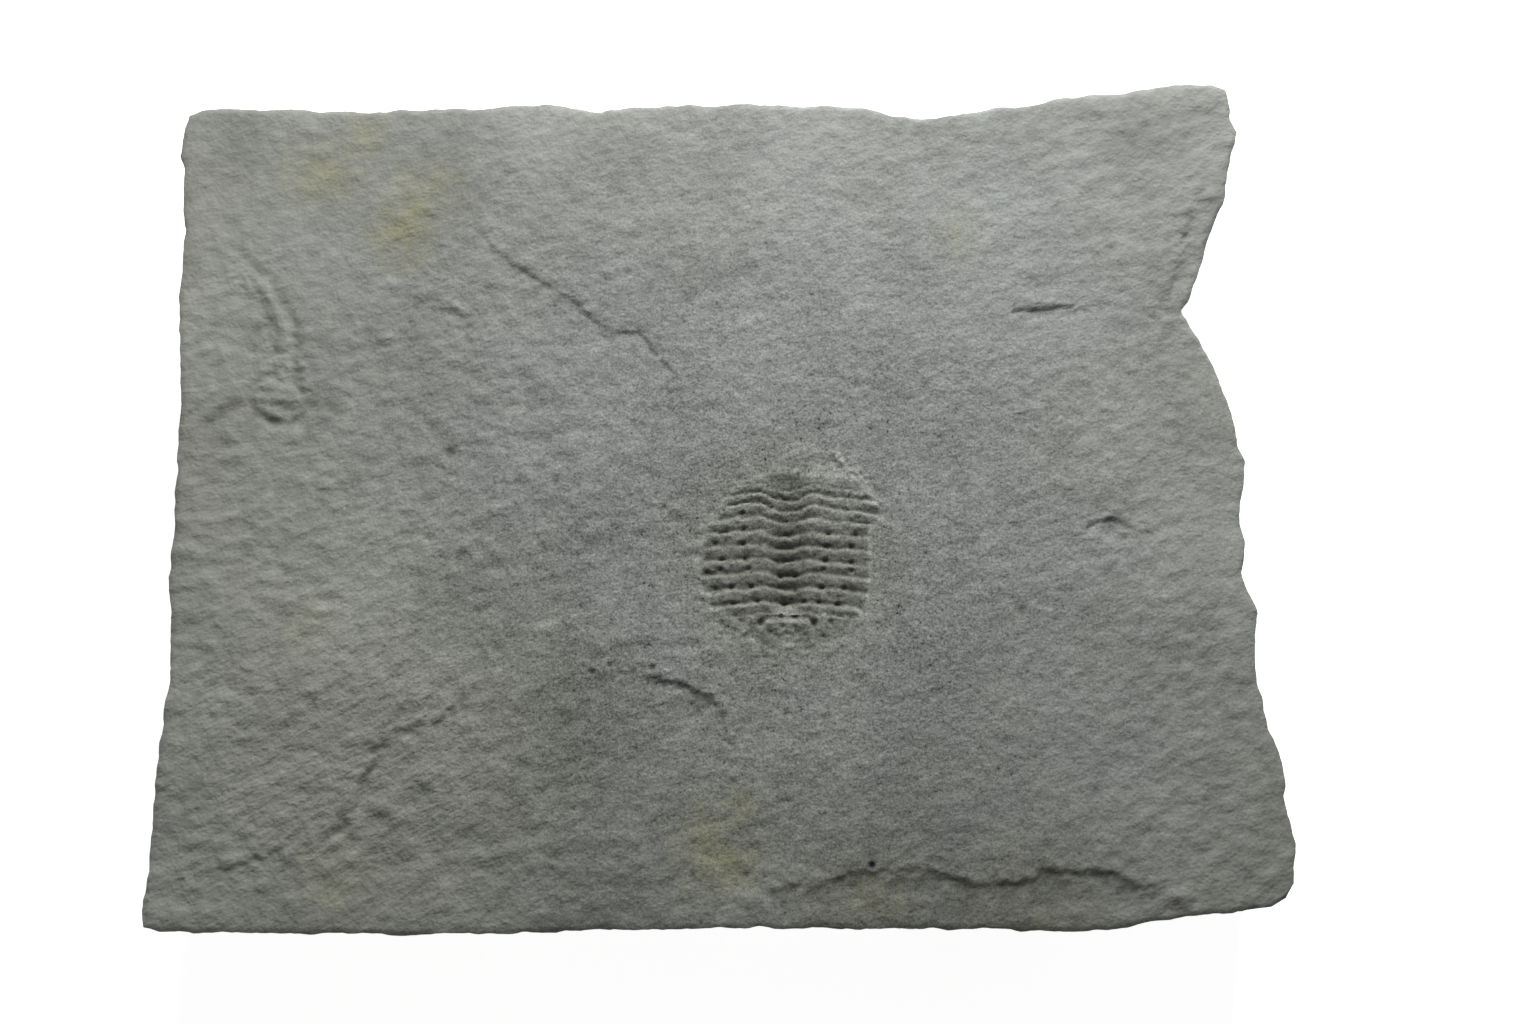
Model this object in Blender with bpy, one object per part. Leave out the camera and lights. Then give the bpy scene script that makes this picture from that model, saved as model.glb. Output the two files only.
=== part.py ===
"""Trilobite fossil: a slab of grey siltstone that carries the mould of a trilobite's thorax and tail.

The slab is one piece of stone. It lies on its underside with the fossil face up.
Metres, +Z up. The origin is in the middle of the underside. The trilobite's head end points to +Y.
Lengths below are millimetres until MM turns them into metres.
"""

import math

import bmesh
import bpy
import numpy as np
from mathutils import noise

MM = 0.001

# Slab
THICKNESS = 14.0
RIM_BEVEL = 0.5
FOOT_BEVEL = 1.2
FOOT_STEP = 0.2
SIDE_HOLLOW = 0.7
SIDE_HOLLOW_LENGTH = 6.0
# The beds that show in the broken sides, from the top: how thick each is, and how far it steps out.
SIDE_BEDS = ((2.6, -0.5), (3.6, 0.5), (3.2, -0.4))

# The four broken edges, as (x, y) seen from above. Each runs towards +X or towards +Y.
NEAR_EDGE = (
    (-54.2, -42.6), (-52.7, -43.0), (-44.0, -43.2), (-31.0, -43.3), (-21.0, -43.2), (-11.0, -43.0),
    (-3.0, -42.8), (6.0, -42.7), (21.0, -42.8), (34.3, -43.0), (39.6, -42.7), (43.7, -41.9),
    (49.1, -41.3), (53.4, -40.7), (55.0, -40.0),
)
FAR_EDGE = (
    (-55.6, 40.0), (-54.3, 40.4), (-49.0, 40.6), (-43.0, 40.5), (-36.5, 40.3), (-29.0, 40.5),
    (-23.0, 40.6), (-17.6, 41.0), (-12.5, 40.2), (-7.5, 40.6), (-3.0, 41.0), (-0.5, 40.8),
    (3.4, 41.3), (6.9, 41.0), (14.1, 40.9), (16.6, 40.4), (19.1, 39.6), (22.4, 39.3),
    (25.4, 39.8), (29.2, 40.6), (33.0, 41.0), (36.9, 41.9), (42.0, 42.2), (45.8, 42.8),
    (49.6, 43.3), (52.2, 43.3), (53.7, 42.8),
)
LEFT_EDGE = (
    (-54.2, -42.6), (-54.5, -41.3), (-54.1, -37.0), (-54.0, -29.0), (-53.7, -23.0), (-53.4, -19.6),
    (-53.7, -12.5), (-54.1, -10.0), (-54.1, 5.8), (-54.3, 10.9), (-54.6, 14.7), (-55.0, 19.8),
    (-54.8, 23.7), (-55.2, 28.9), (-55.6, 31.5), (-55.7, 34.2), (-56.2, 35.5), (-56.1, 38.6),
    (-55.6, 40.0),
)
RIGHT_EDGE = (
    (55.0, -40.0), (55.8, -38.6), (56.2, -35.1), (55.7, -32.7), (55.3, -30.4), (55.6, -29.7),
    (55.3, -27.4), (54.6, -25.0), (53.7, -22.0), (53.3, -18.4), (53.2, -15.0), (53.9, -12.5),
    (52.9, -10.5), (52.4, -8.5), (52.9, -5.7), (52.5, -3.6), (52.9, -1.0), (53.4, 2.8),
    (52.9, 4.5), (52.4, 7.8), (51.4, 10.8), (50.8, 12.9), (49.4, 15.4), (48.5, 17.1),
    (47.7, 18.6), (48.6, 19.7), (49.2, 21.4), (50.2, 24.0), (51.1, 26.6), (52.6, 30.1),
    (53.2, 32.8), (54.1, 36.3), (54.6, 38.1), (54.0, 40.0), (54.1, 41.7), (53.7, 42.8),
)

# Broken laminae: the stone is lower by drop on one side of the line, and comes back over reach.
# side is 1 where the low side lies to the left of the line's direction, and -1 to its right.
LEDGES = {
    "upper_left": dict(
        line=(
            (-24.0, 26.8), (-20.3, 23.8), (-17.6, 21.7), (-15.5, 20.8), (-10.8, 16.7), (-7.7, 16.2),
            (-3.4, 11.4),
        ),
        side=-1, drop=0.55, reach=7.0, width=0.5,
    ),
    "lower_middle": dict(
        line=(
            (-14.7, -14.5), (-12.6, -18.1), (-6.2, -19.0), (-2.3, -19.7), (0.2, -21.2), (0.9, -23.6),
            (2.7, -30.1),
        ),
        side=-1, drop=0.65, reach=8.0, width=0.5,
    ),
    "near_terrace": dict(
        line=(
            (6.4, -39.2), (11.4, -37.9), (19.5, -37.5), (25.3, -38.5), (31.6, -37.4), (36.4, -37.4),
            (43.0, -39.3), (45.6, -41.4),
        ),
        side=-1, drop=1.1, reach=40.0, width=0.6,
    ),
    "slot": dict(
        line=((30.3, 18.6), (33.4, 19.0), (37.4, 19.5)),
        side=-1, drop=0.7, reach=3.0, width=0.3,
    ),
    "flake": dict(
        line=((37.0, -3.7), (38.4, -3.0), (39.4, -2.8), (41.6, -3.7)),
        side=-1, drop=0.4, reach=2.0, width=0.4,
    ),
    "lower_left": dict(
        line=(
            (-27.0, -15.5), (-30.6, -24.1), (-33.8, -28.9), (-36.5, -33.2), (-40.7, -35.6),
            (-50.2, -38.2),
        ),
        side=1, drop=0.5, reach=7.0, width=1.2,
    ),
    "right_bevel": dict(
        line=((53.4, 33.5), (49.6, 27.0), (48.0, 22.5), (46.4, 18.6)),
        side=1, drop=0.9, reach=20.0, width=1.2,
    ),
}

# Unevenness of the stone: (how far apart its humps are, their height, the seed of their noise).
BROAD_HUMPS = ((30.0, 0.35, 3.1), (9.0, 0.2, 8.7))
SMALL_HUMPS = (4.5, 0.12, 2.4)

# Broad swells of the bedding plane: (x, y, radius, height).
SWELLS = (
    (-11.0, -27.5, 11.0, 0.7),
    (-41.0, -16.0, 13.0, 0.5),
    (-20.0, 33.0, 14.0, 0.4),
    (22.0, 20.0, 18.0, 0.4),
    (34.0, -24.0, 16.0, 0.5),
    (-30.0, 2.0, 15.0, -0.4),
    (20.0, -1.0, 8.0, -0.3),
)

# Small pits: (x, y, radius, depth).
PITS = ((15.4, -36.8, 0.6, 0.5), (-26.8, 3.9, 1.0, 0.3), (30.6, -12.3, 0.9, 0.3))

# The trilobite's mould
AXIS_X = 7.3
MOULD_CENTRE = (7.3, -6.8)
MOULD_BORDER = (
    (15.8, -7.5), (15.8, -3.9), (16.6, -2.8), (16.8, -1.9), (15.6, -0.3), (14.9, 0.7), (14.0, 1.4),
    (11.7, 1.5), (8.7, 1.6), (5.2, 1.7), (3.8, 1.1), (2.2, 0.3), (1.5, -0.9), (0.9, -2.1), (-0.5, -3.6),
    (-1.1, -5.2), (-1.2, -6.5), (-1.4, -9.1), (-0.9, -11.3), (-0.2, -12.9), (1.0, -14.1), (2.5, -15.0),
    (4.5, -15.9), (7.3, -16.3), (9.8, -16.1), (11.6, -15.4), (13.3, -14.3), (14.8, -13.0), (15.4, -11.4),
)
RIB_HEIGHT = 0.45
GROOVE_SHARE = 0.72
AXIS_DEPTH = 1.25
AXIS_HALF_FRONT = 2.3
AXIS_HALF_BACK = 1.4
MOULD_RISE = 0.3
MOULD_SETTLE = 0.2

# The crest of each rib: its y at each of these x. Behind the last crest the rows are the tail's.
RIB_STATIONS = (-1.2, 1.5, 3.0, 4.8, 6.0, 7.3, 8.6, 9.8, 11.5, 14.0, 16.2)
RIB_CRESTS = (
    (0.0, 0.1, 0.3, 0.5, -0.1, -0.35, 0.0, 0.45, 0.2, -0.1, -0.3),
    (-1.3, -1.0, -0.65, -0.6, -1.2, -1.35, -1.3, -0.5, -0.8, -1.1, -1.4),
    (-2.3, -1.95, -1.65, -1.6, -2.3, -2.45, -2.3, -1.75, -2.1, -2.3, -2.65),
    (-3.7, -3.1, -3.15, -2.9, -3.55, -3.6, -3.5, -3.15, -3.35, -3.5, -3.7),
    (-4.7, -4.5, -4.4, -4.4, -5.0, -5.0, -4.8, -4.5, -4.75, -4.85, -5.1),
    (-6.0, -5.9, -5.85, -5.8, -6.35, -6.25, -6.15, -6.0, -6.15, -6.25, -6.5),
    (-7.5, -7.35, -7.2, -7.15, -7.6, -7.6, -7.6, -7.35, -7.5, -7.75, -8.0),
    (-8.9, -8.6, -8.5, -8.45, -8.95, -9.0, -8.9, -8.6, -8.7, -8.95, -9.3),
    (-10.7, -10.2, -10.15, -10.15, -10.3, -10.5, -10.2, -10.2, -10.25, -10.5, -10.9),
    (-12.1, -11.75, -11.6, -11.55, -11.7, -11.95, -11.8, -11.75, -11.85, -12.2, -12.6),
)
TAIL_ROWS = (-13.0, -14.3, -15.5)

# The tail: an arch over a small ring, with a socket at each side of the arch
ARCH_CENTRE = (7.1, -15.5)
ARCH_RADIUS = 2.4
ARCH_HEIGHT = 0.35
RING_CENTRE = (7.4, -15.0)
RING_RADIUS = 0.8
RING_HEIGHT = 0.25
TAIL_DROP = 0.35
SOCKETS = ((4.7, -13.4), (9.9, -13.4))
SOCKET_RADIUS = 0.7
SOCKET_DEPTH = 0.5
SPINE_LINE = ((12.6, 3.9), (12.8, 2.7), (13.7, 1.9), (14.5, 1.4), (15.1, 0.5), (16.3, -1.0))
SPINE_WIDTH = 0.6
SPINE_HEIGHT = 0.3

# The small fossil by the left edge: a bent stem that ends in a knob with two barbs
STEM_LINE = ((-48.4, 24.2), (-46.4, 22.6), (-44.9, 20.2), (-44.2, 17.0), (-44.0, 13.3), (-44.1, 10.4))
STEM_WIDTH = 1.4
STEM_HEIGHT = 0.55
KNOB_CENTRE = (-44.4, 9.0)
KNOB_RADIUS = 2.0
KNOB_HEIGHT = 0.6
GROOVE_WIDTH = 0.6
GROOVE_DEPTH = 0.3
BARB_LINES = (((-46.2, 9.0), (-48.0, 7.6), (-50.6, 6.6)), ((-42.4, 9.2), (-40.6, 8.6), (-38.6, 7.6)))
BARB_WIDTH = 0.9
BARB_DEPTH = 0.35

# Mesh
COLUMNS = 43
ROWS = 33
FINE_CUTS = 6
FRONT_CREST_ROW = 102
ROW_SHARES = (0.0, 0.38, GROOVE_SHARE)
MOULD_MARGIN = 0.7
LEDGE_MARGIN = 1.3


def ease(t):
    """0 at t = 0 and below, 1 at t = 1 and above, with a soft start and end."""
    t = np.clip(t, 0.0, 1.0)
    return t * t * (3.0 - 2.0 * t)


def bump(t):
    """1 at t = 0, falling softly to 0 at t = 1 and beyond."""
    return 1.0 - ease(np.abs(t))


def ripple(x, y, length, seed):
    """Smooth noise between about -1 and 1 whose humps are about length across."""
    return np.array([noise.noise((a / length, b / length, seed)) for a, b in zip(x, y)])


def beside_line(x, y, line):
    """Distance to a line, share of its length at the nearest place, and 1 on its left or -1 on its right."""
    points = np.array(line)
    lengths = np.hypot(*np.diff(points, axis=0).T)
    nearest = np.full(x.shape, np.inf)
    share = np.zeros(x.shape)
    side = np.ones(x.shape)
    run = 0.0
    for start, end, length in zip(points[:-1], points[1:], lengths):
        ux, uy = (end - start) / length
        along = np.clip((x - start[0]) * ux + (y - start[1]) * uy, 0.0, length)
        dx = x - start[0] - ux * along
        dy = y - start[1] - uy * along
        distance = np.hypot(dx, dy)
        closer = distance < nearest
        nearest = np.where(closer, distance, nearest)
        share = np.where(closer, (run + along) / lengths.sum(), share)
        side = np.where(closer, np.where(ux * dy > uy * dx, 1.0, -1.0), side)
        run += length
    return nearest, share, side


def ledge_height(x, y, line, side, drop, reach, width):
    """The step at a broken lamina, which dies out at both ends of its line."""
    distance, share, where = beside_line(x, y, line)
    into_low = distance * where * side
    fade = np.sin(np.pi * share) ** 0.6
    step = ease(into_low / width + 0.5)
    return -drop * fade * step * np.exp(-np.clip(into_low, 0.0, None) / reach)


def inside_mould(x, y):
    """Distance in from the mould's border, along the ray from its centre. Negative outside."""
    cx, cy = MOULD_CENTRE
    border = np.array(MOULD_BORDER) - (cx, cy)
    angles = np.arctan2(border[:, 1], border[:, 0])
    order = np.argsort(angles)
    radii = np.hypot(*border.T)[order]
    reach = np.interp(np.arctan2(y - cy, x - cx), angles[order], radii, period=2.0 * math.pi)
    return reach - np.hypot(x - cx, y - cy)


def crest_lines(x):
    """The y of every crest and tail row at each x, one line of values for each."""
    crests = [np.interp(x, RIB_STATIONS, rib) for rib in RIB_CRESTS]
    return np.stack(crests + [np.full(x.shape, row) for row in TAIL_ROWS])


def rib_height(x, y):
    """The row of ribs: each falls slowly from its crest to a groove, then rises steeply to the next."""
    lines = crest_lines(x)[: len(RIB_CRESTS) + 1]
    shares = np.clip((lines[:-1] - y) / (lines[:-1] - lines[1:]), 0.0, 1.0)
    phase = np.where(y > lines[0], lines[0] - y, shares.sum(axis=0))
    part = phase - np.floor(phase)
    fall = 1.0 - ease(part / GROOVE_SHARE)
    rise = ease((part - GROOVE_SHARE) / (1.0 - GROOVE_SHARE))
    last = ease((len(RIB_CRESTS) - 0.2 - phase) / 0.2)
    return RIB_HEIGHT * (np.where(part < GROOVE_SHARE, fall, rise) - 1.0) * last


def tail_height(x, y):
    """The tail's arch, ring and sockets, on ground lower than the ribs."""
    from_arch = np.hypot(x - ARCH_CENTRE[0], y - ARCH_CENTRE[1])
    arch = ARCH_HEIGHT * bump((from_arch - ARCH_RADIUS) / 0.8) * ease((y - ARCH_CENTRE[1] + 0.6) / 0.8)
    from_ring = np.hypot(x - RING_CENTRE[0], y - RING_CENTRE[1])
    ring = RING_HEIGHT * bump((from_ring - RING_RADIUS) / 0.6)
    height = np.maximum(arch, ring) - TAIL_DROP
    for cx, cy in SOCKETS:
        height -= SOCKET_DEPTH * bump(np.hypot(x - cx, y - cy) / SOCKET_RADIUS)
    return height * ease((-12.3 - y) / 0.7)


def mould_height(x, y):
    """The trilobite: two ribbed side lobes, a sunken axis between them, and the small tail behind."""
    along = np.clip(-y / 13.0, 0.0, 1.0)
    half_axis = AXIS_HALF_FRONT + (AXIS_HALF_BACK - AXIS_HALF_FRONT) * along
    channel = bump(((x - AXIS_X) / (1.2 * half_axis)) ** 2) * ease((1.4 - y) / 1.0) * ease((y + 13.0) / 0.8)
    body = MOULD_RISE - AXIS_DEPTH * channel + rib_height(x, y) + tail_height(x, y)
    from_spine, share, _ = beside_line(x, y, SPINE_LINE)
    spine = SPINE_HEIGHT * bump(from_spine / SPINE_WIDTH) * ease(share / 0.2)
    return ease(inside_mould(x, y) / 0.5) * body + spine


def small_fossil_height(x, y):
    """The bent stem, its knob with a rim, and the grooves of its two barbs."""
    distance, share, side = beside_line(x, y, STEM_LINE)
    stem = STEM_HEIGHT * bump(distance / STEM_WIDTH) * ease(share / 0.3)
    stem -= GROOVE_DEPTH * bump((distance - STEM_WIDTH) / GROOVE_WIDTH) * (side > 0) * ease(share / 0.2)
    out = np.hypot(x - KNOB_CENTRE[0], y - KNOB_CENTRE[1])
    knob = KNOB_HEIGHT * (bump((out - 0.75 * KNOB_RADIUS) / 0.8) + 0.6 * bump(out / 0.7))
    knob -= GROOVE_DEPTH * bump((out - 1.25 * KNOB_RADIUS) / GROOVE_WIDTH) * (y < KNOB_CENTRE[1])
    height = np.maximum(stem, knob)
    for line in BARB_LINES:
        distance, share, _ = beside_line(x, y, line)
        height -= BARB_DEPTH * bump(distance / BARB_WIDTH) * (1.0 - share)
    return height


def face_height(x, y):
    """Height of the fossil face above the underside."""
    height = np.full(x.shape, THICKNESS)
    for length, rise, seed in BROAD_HUMPS:
        height += rise * ripple(x, y, length, seed)
    length, rise, seed = SMALL_HUMPS
    height += rise * ripple(x, y, length, seed) * (1.0 - ease(inside_mould(x, y) + 1.5))
    for cx, cy, radius, rise in SWELLS:
        height += rise * np.exp(-((x - cx) ** 2 + (y - cy) ** 2) / radius**2)
    for ledge in LEDGES.values():
        height += ledge_height(x, y, **ledge)
    for cx, cy, radius, depth in PITS:
        height -= depth * bump(np.hypot(x - cx, y - cy) / radius)
    settled = MOULD_SETTLE * ease(inside_mould(x, y) + 1.0)
    return height - settled + mould_height(x, y) + small_fossil_height(x, y)


def along_edge(edge, share, axis):
    """The point of an edge at a share of its run along X (axis 0) or Y (axis 1)."""
    points = np.array(edge)
    run = points[0, axis] + (points[-1, axis] - points[0, axis]) * share
    return np.stack([np.interp(run, points[:, axis], points[:, i]) for i in (0, 1)])


def place_in_outline(u, v):
    """Stretches a flat sheet, u and v from 0 to 1, to fill the slab's outline. Returns x and y."""
    near, far = along_edge(NEAR_EDGE, u, 0), along_edge(FAR_EDGE, u, 0)
    left, right = along_edge(LEFT_EDGE, v, 1), along_edge(RIGHT_EDGE, v, 1)
    ends = (NEAR_EDGE[0], NEAR_EDGE[-1], FAR_EDGE[0], FAR_EDGE[-1])
    corners = [np.array(point)[:, None] for point in ends]
    across = (1.0 - v) * near + v * far + (1.0 - u) * left + u * right
    near_ends = (1.0 - u) * corners[0] + u * corners[1]
    far_ends = (1.0 - u) * corners[2] + u * corners[3]
    return across - (1.0 - v) * near_ends - v * far_ends


def refine(bm, wanted, cuts):
    """Divides the faces whose middle will lie where wanted(x, y) says, cuts times along each edge."""
    u, v = np.array([face.calc_center_median().xy for face in bm.faces]).T + 0.5
    chosen = [face for face, yes in zip(list(bm.faces), wanted(*place_in_outline(u, v))) if yes]
    edges = list({edge for face in chosen for edge in face.edges})
    bmesh.ops.subdivide_edges(bm, edges=edges, cuts=cuts, use_grid_fill=True)


def near_detail(x, y):
    """Where the face needs a mesh of half the pitch: by a ledge, the mould or the small fossil."""
    found = inside_mould(x, y) > -2.0
    for ledge in LEDGES.values():
        found |= beside_line(x, y, ledge["line"])[0] < LEDGE_MARGIN
    found |= beside_line(x, y, STEM_LINE)[0] < 2.4
    return found | (np.hypot(x - KNOB_CENTRE[0], y - KNOB_CENTRE[1]) < 3.5)


def on_mould(x, y):
    """Where the face needs its finest mesh: the trilobite and its spine."""
    return (inside_mould(x, y) > -MOULD_MARGIN) | (beside_line(x, y, SPINE_LINE)[0] < 0.8)


def follow_ribs(x, y, v):
    """Moves the mesh's fine rows over the mould so that they run along the crests and grooves. Returns y."""
    rows = np.round(FRONT_CREST_ROW - v * ROWS * FINE_CUTS).astype(int)
    lines = crest_lines(x)
    rib = np.clip(rows // len(ROW_SHARES), 0, len(lines) - 2)
    share = np.array(ROW_SHARES)[rows % len(ROW_SHARES)]
    every = np.arange(len(x))
    wanted = lines[rib, every] + share * (lines[rib + 1, every] - lines[rib, every])
    inside = (rows >= 0) & (rows < len(ROW_SHARES) * (len(lines) - 1))
    return y + (wanted - y) * ease(inside_mould(x, y) / 0.9) * inside


def shape_face():
    """The fossil face as a sheet with its outline, finer at the fossils and ledges, laid at its height."""
    bm = bmesh.new()
    bmesh.ops.create_grid(bm, x_segments=COLUMNS, y_segments=ROWS, size=0.5)
    refine(bm, near_detail, 1)
    refine(bm, on_mould, 2)
    u, v = np.array([vert.co.xy for vert in bm.verts]).T + 0.5
    x, y = place_in_outline(u, v)
    y = follow_ribs(x, y, v)
    for vert, place in zip(bm.verts, zip(x, y, face_height(x, y))):
        vert.co = place
    return bm


def outward(loop):
    """The level direction away from the slab at each vertex of a closed loop."""
    points = np.array([vert.co for vert in loop])
    run = np.roll(points, -1, axis=0) - np.roll(points, 1, axis=0)
    return np.stack([run[:, 1], -run[:, 0]], axis=1) / np.hypot(run[:, 0], run[:, 1])[:, None]


def ordered_rim(bm):
    """The open border's vertices in order, anticlockwise seen from above."""
    border = {edge for edge in bm.edges if edge.is_boundary}
    start = min((vert for edge in border for vert in edge.verts), key=lambda vert: (vert.co.y, vert.co.x))
    loop, seen = [start], set()
    while True:
        ways = [edge for edge in loop[-1].link_edges if edge in border and edge not in seen]
        ways = [edge for edge in ways if len(loop) > 1 or edge.other_vert(start).co.x > start.co.x]
        if not ways:
            return loop[:-1]
        seen.add(ways[0])
        loop.append(ways[0].other_vert(loop[-1]))


def drop_row(bm, step, down=0.0, level=None, seed=None):
    """Extrudes the open border, and moves the new row out by step, and down or to a level.

    With a seed, the row also wanders in and out, as a broken side does.
    """
    border = [edge for edge in bm.edges if edge.is_boundary]
    bmesh.ops.extrude_edge_only(bm, edges=border)
    loop = ordered_rim(bm)
    out = np.full(len(loop), step)
    if seed is not None:
        x, y, _ = np.array([vert.co for vert in loop]).T
        out += SIDE_HOLLOW * ripple(x, y, SIDE_HOLLOW_LENGTH, seed)
    for vert, direction, move in zip(loop, outward(loop), out):
        vert.co.x += direction[0] * move
        vert.co.y += direction[1] * move
        vert.co.z = vert.co.z - down if level is None else level


def close_slab(bm):
    """Gives the face its worn rim, its broken sides and a flat underside."""
    loop = ordered_rim(bm)
    for vert, direction in zip(loop, outward(loop)):
        vert.co.x -= direction[0] * RIM_BEVEL
        vert.co.y -= direction[1] * RIM_BEVEL
    drop_row(bm, RIM_BEVEL, down=RIM_BEVEL)
    for bed, (depth, step) in enumerate(SIDE_BEDS):
        drop_row(bm, step, down=depth, seed=1.3 + 4.1 * bed)
    drop_row(bm, FOOT_STEP, level=FOOT_BEVEL)
    drop_row(bm, -FOOT_BEVEL, level=0.0)
    bmesh.ops.contextual_create(bm, geom=[edge for edge in bm.edges if edge.is_boundary])
    bmesh.ops.recalc_face_normals(bm, faces=list(bm.faces))


def stone_material():
    """Dull grey siltstone."""
    material = bpy.data.materials.new("grey_siltstone")
    material.use_nodes = True
    shader = material.node_tree.nodes["Principled BSDF"]
    shader.inputs["Base Color"].default_value = (0.21, 0.215, 0.20, 1.0)
    shader.inputs["Roughness"].default_value = 0.9
    shader.inputs["Metallic"].default_value = 0.0
    return material


def main():
    """Clears the scene and models the slab."""
    for obj in list(bpy.data.objects):
        bpy.data.objects.remove(obj)
    bm = shape_face()
    close_slab(bm)
    points = np.array([vert.co for vert in bm.verts])
    middle = (points.min(axis=0) + points.max(axis=0)) / 2.0
    for vert in bm.verts:
        vert.co = ((vert.co.x - middle[0]) * MM, (vert.co.y - middle[1]) * MM, vert.co.z * MM)
    mesh = bpy.data.meshes.new("fossil_slab")
    bm.to_mesh(mesh)
    bm.free()
    mesh.shade_smooth()
    mesh.set_sharp_from_angle(angle=math.radians(40.0))
    mesh.materials.append(stone_material())
    slab = bpy.data.objects.new("fossil_slab", mesh)
    collection = bpy.data.collections.new("trilobite_fossil")
    bpy.context.scene.collection.children.link(collection)
    collection.objects.link(slab)


main()
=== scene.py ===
"""Trilobite fossil: a slab of grey siltstone with the mould of a trilobite's thorax and tail.

The slab lies on its underside on a pale floor, fossil face up. Lengths in the classes below are
millimetres in the row's frame, seen from above with +X to the right and +Y away from the viewer,
and become metres when a mesh is written.
"""

from __future__ import annotations

import logging
import math
from collections.abc import Callable
from dataclasses import dataclass
from enum import Enum

import bmesh
import bpy
import numpy as np
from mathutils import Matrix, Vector, noise


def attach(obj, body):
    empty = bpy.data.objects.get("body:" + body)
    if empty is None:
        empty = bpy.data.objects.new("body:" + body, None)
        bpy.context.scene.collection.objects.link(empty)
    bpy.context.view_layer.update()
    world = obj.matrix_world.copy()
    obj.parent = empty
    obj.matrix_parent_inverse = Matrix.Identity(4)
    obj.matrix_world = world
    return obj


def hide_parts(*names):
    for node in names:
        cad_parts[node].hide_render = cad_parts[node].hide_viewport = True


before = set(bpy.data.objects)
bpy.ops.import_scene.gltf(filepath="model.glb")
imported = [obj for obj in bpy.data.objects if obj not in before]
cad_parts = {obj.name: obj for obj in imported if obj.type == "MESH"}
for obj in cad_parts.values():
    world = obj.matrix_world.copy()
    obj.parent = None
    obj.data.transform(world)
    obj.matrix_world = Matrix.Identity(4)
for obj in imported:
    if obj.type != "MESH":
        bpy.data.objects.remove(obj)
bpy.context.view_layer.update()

LOG = logging.getLogger("trilobite_fossil")
MM = 0.001
SEED_STEP = np.array((7.31, 3.17, 5.77))

Array = np.ndarray
Point = tuple[float, float]
Colour = tuple[float, float, float]
Spot = tuple[float, float, float, float]  # x, y, radius and strength
Socket = bpy.types.NodeSocket


def ease(t: Array) -> Array:
    """Rises softly from 0 at t = 0 to 1 at t = 1, and stays level beyond."""
    t = np.clip(t, 0.0, 1.0)
    return t * t * (3.0 - 2.0 * t)


def bump(t: Array) -> Array:
    """Gives a soft hump that is 1 at t = 0 and reaches 0 at t = 1 and t = -1."""
    return 1.0 - ease(np.abs(t))


def ripple(points: Array, size: float, seed: float, octaves: int = 1) -> Array:
    """Gives smooth random relief between about -1 and 1.

    Args:
        points: One row of x, y, z for each place.
        size: How far apart the largest humps are, in the unit of the points.
        seed: Any number. Each seed gives other relief.
        octaves: How many layers of relief are added, each half the size and height of the last.

    Returns:
        The relief at each place.
    """
    scaled = (points / size + seed * SEED_STEP).tolist()
    if octaves == 1:
        return np.array([noise.noise(place) for place in scaled])
    return np.array([noise.fractal(place, 1.0, 2.0, octaves) for place in scaled])


def lumps(points: Array, size: float, seed: float, octaves: int = 2) -> Array:
    """Gives rounded lumps with creases between them, between about -0.5 and 1."""
    return 2.2 * np.abs(ripple(points, size, seed, octaves)) - 0.5


def places_of(x: Array, y: Array) -> Array:
    """Lays places out as rows of x, y and 0, to read relief at."""
    return np.stack([x, y, np.zeros_like(x)], axis=1)


def drawn_out(points: Array, degrees: float, stretch: float) -> Array:
    """Turns and squeezes places, so that relief read there is drawn out along one direction.

    Args:
        points: One row of x, y, z for each place.
        degrees: The direction, turned from +X towards +Y.
        stretch: How many times longer the relief becomes along it.

    Returns:
        The places to read the relief at.
    """
    angle = math.radians(degrees)
    x, y, z = points.T
    along = x * math.cos(angle) + y * math.sin(angle)
    across = y * math.cos(angle) - x * math.sin(angle)
    return np.stack([along / stretch, across, z], axis=1)


class LowSide(Enum):
    """The side of a broken line on which the stone is lower, seen along the line."""

    LEFT = 1.0
    RIGHT = -1.0


class Element(Enum):
    """What an edit-mode selection picks, with Blender's name for it."""

    EDGES = "EDGE"
    FACES = "FACE"


@dataclass(frozen=True)
class BrokenLine:
    """A line of straight runs on the slab's face, and the soft mark that it can leave there."""

    points: tuple[Point, ...]
    radius: float = 1.0
    strength: float = 1.0

    def beside(self, x: Array, y: Array) -> tuple[Array, Array, Array]:
        """Measures where places lie beside the line.

        Args:
            x: The places' x.
            y: The places' y.

        Returns:
            The distance to the line, the share of its length at the nearest place, and 1 on the
            line's left or -1 on its right.
        """
        points = np.array(self.points)
        lengths = np.hypot(*np.diff(points, axis=0).T)
        nearest = np.full(x.shape, np.inf)
        share = np.zeros(x.shape)
        side = np.ones(x.shape)
        run = 0.0
        for start, end, length in zip(points[:-1], points[1:], lengths):
            ux, uy = (end - start) / length
            along = np.clip((x - start[0]) * ux + (y - start[1]) * uy, 0.0, length)
            dx = x - start[0] - ux * along
            dy = y - start[1] - uy * along
            distance = np.hypot(dx, dy)
            closer = distance < nearest
            nearest = np.where(closer, distance, nearest)
            share = np.where(closer, (run + along) / lengths.sum(), share)
            side = np.where(closer, np.where(ux * dy > uy * dx, 1.0, -1.0), side)
            run += length
        return nearest, share, side

    def mark(self, x: Array, y: Array) -> Array:
        """Gives the line's mark: its strength on the line, fading to 0 at its radius."""
        return self.strength * bump(self.beside(x, y)[0] / self.radius)


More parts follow.
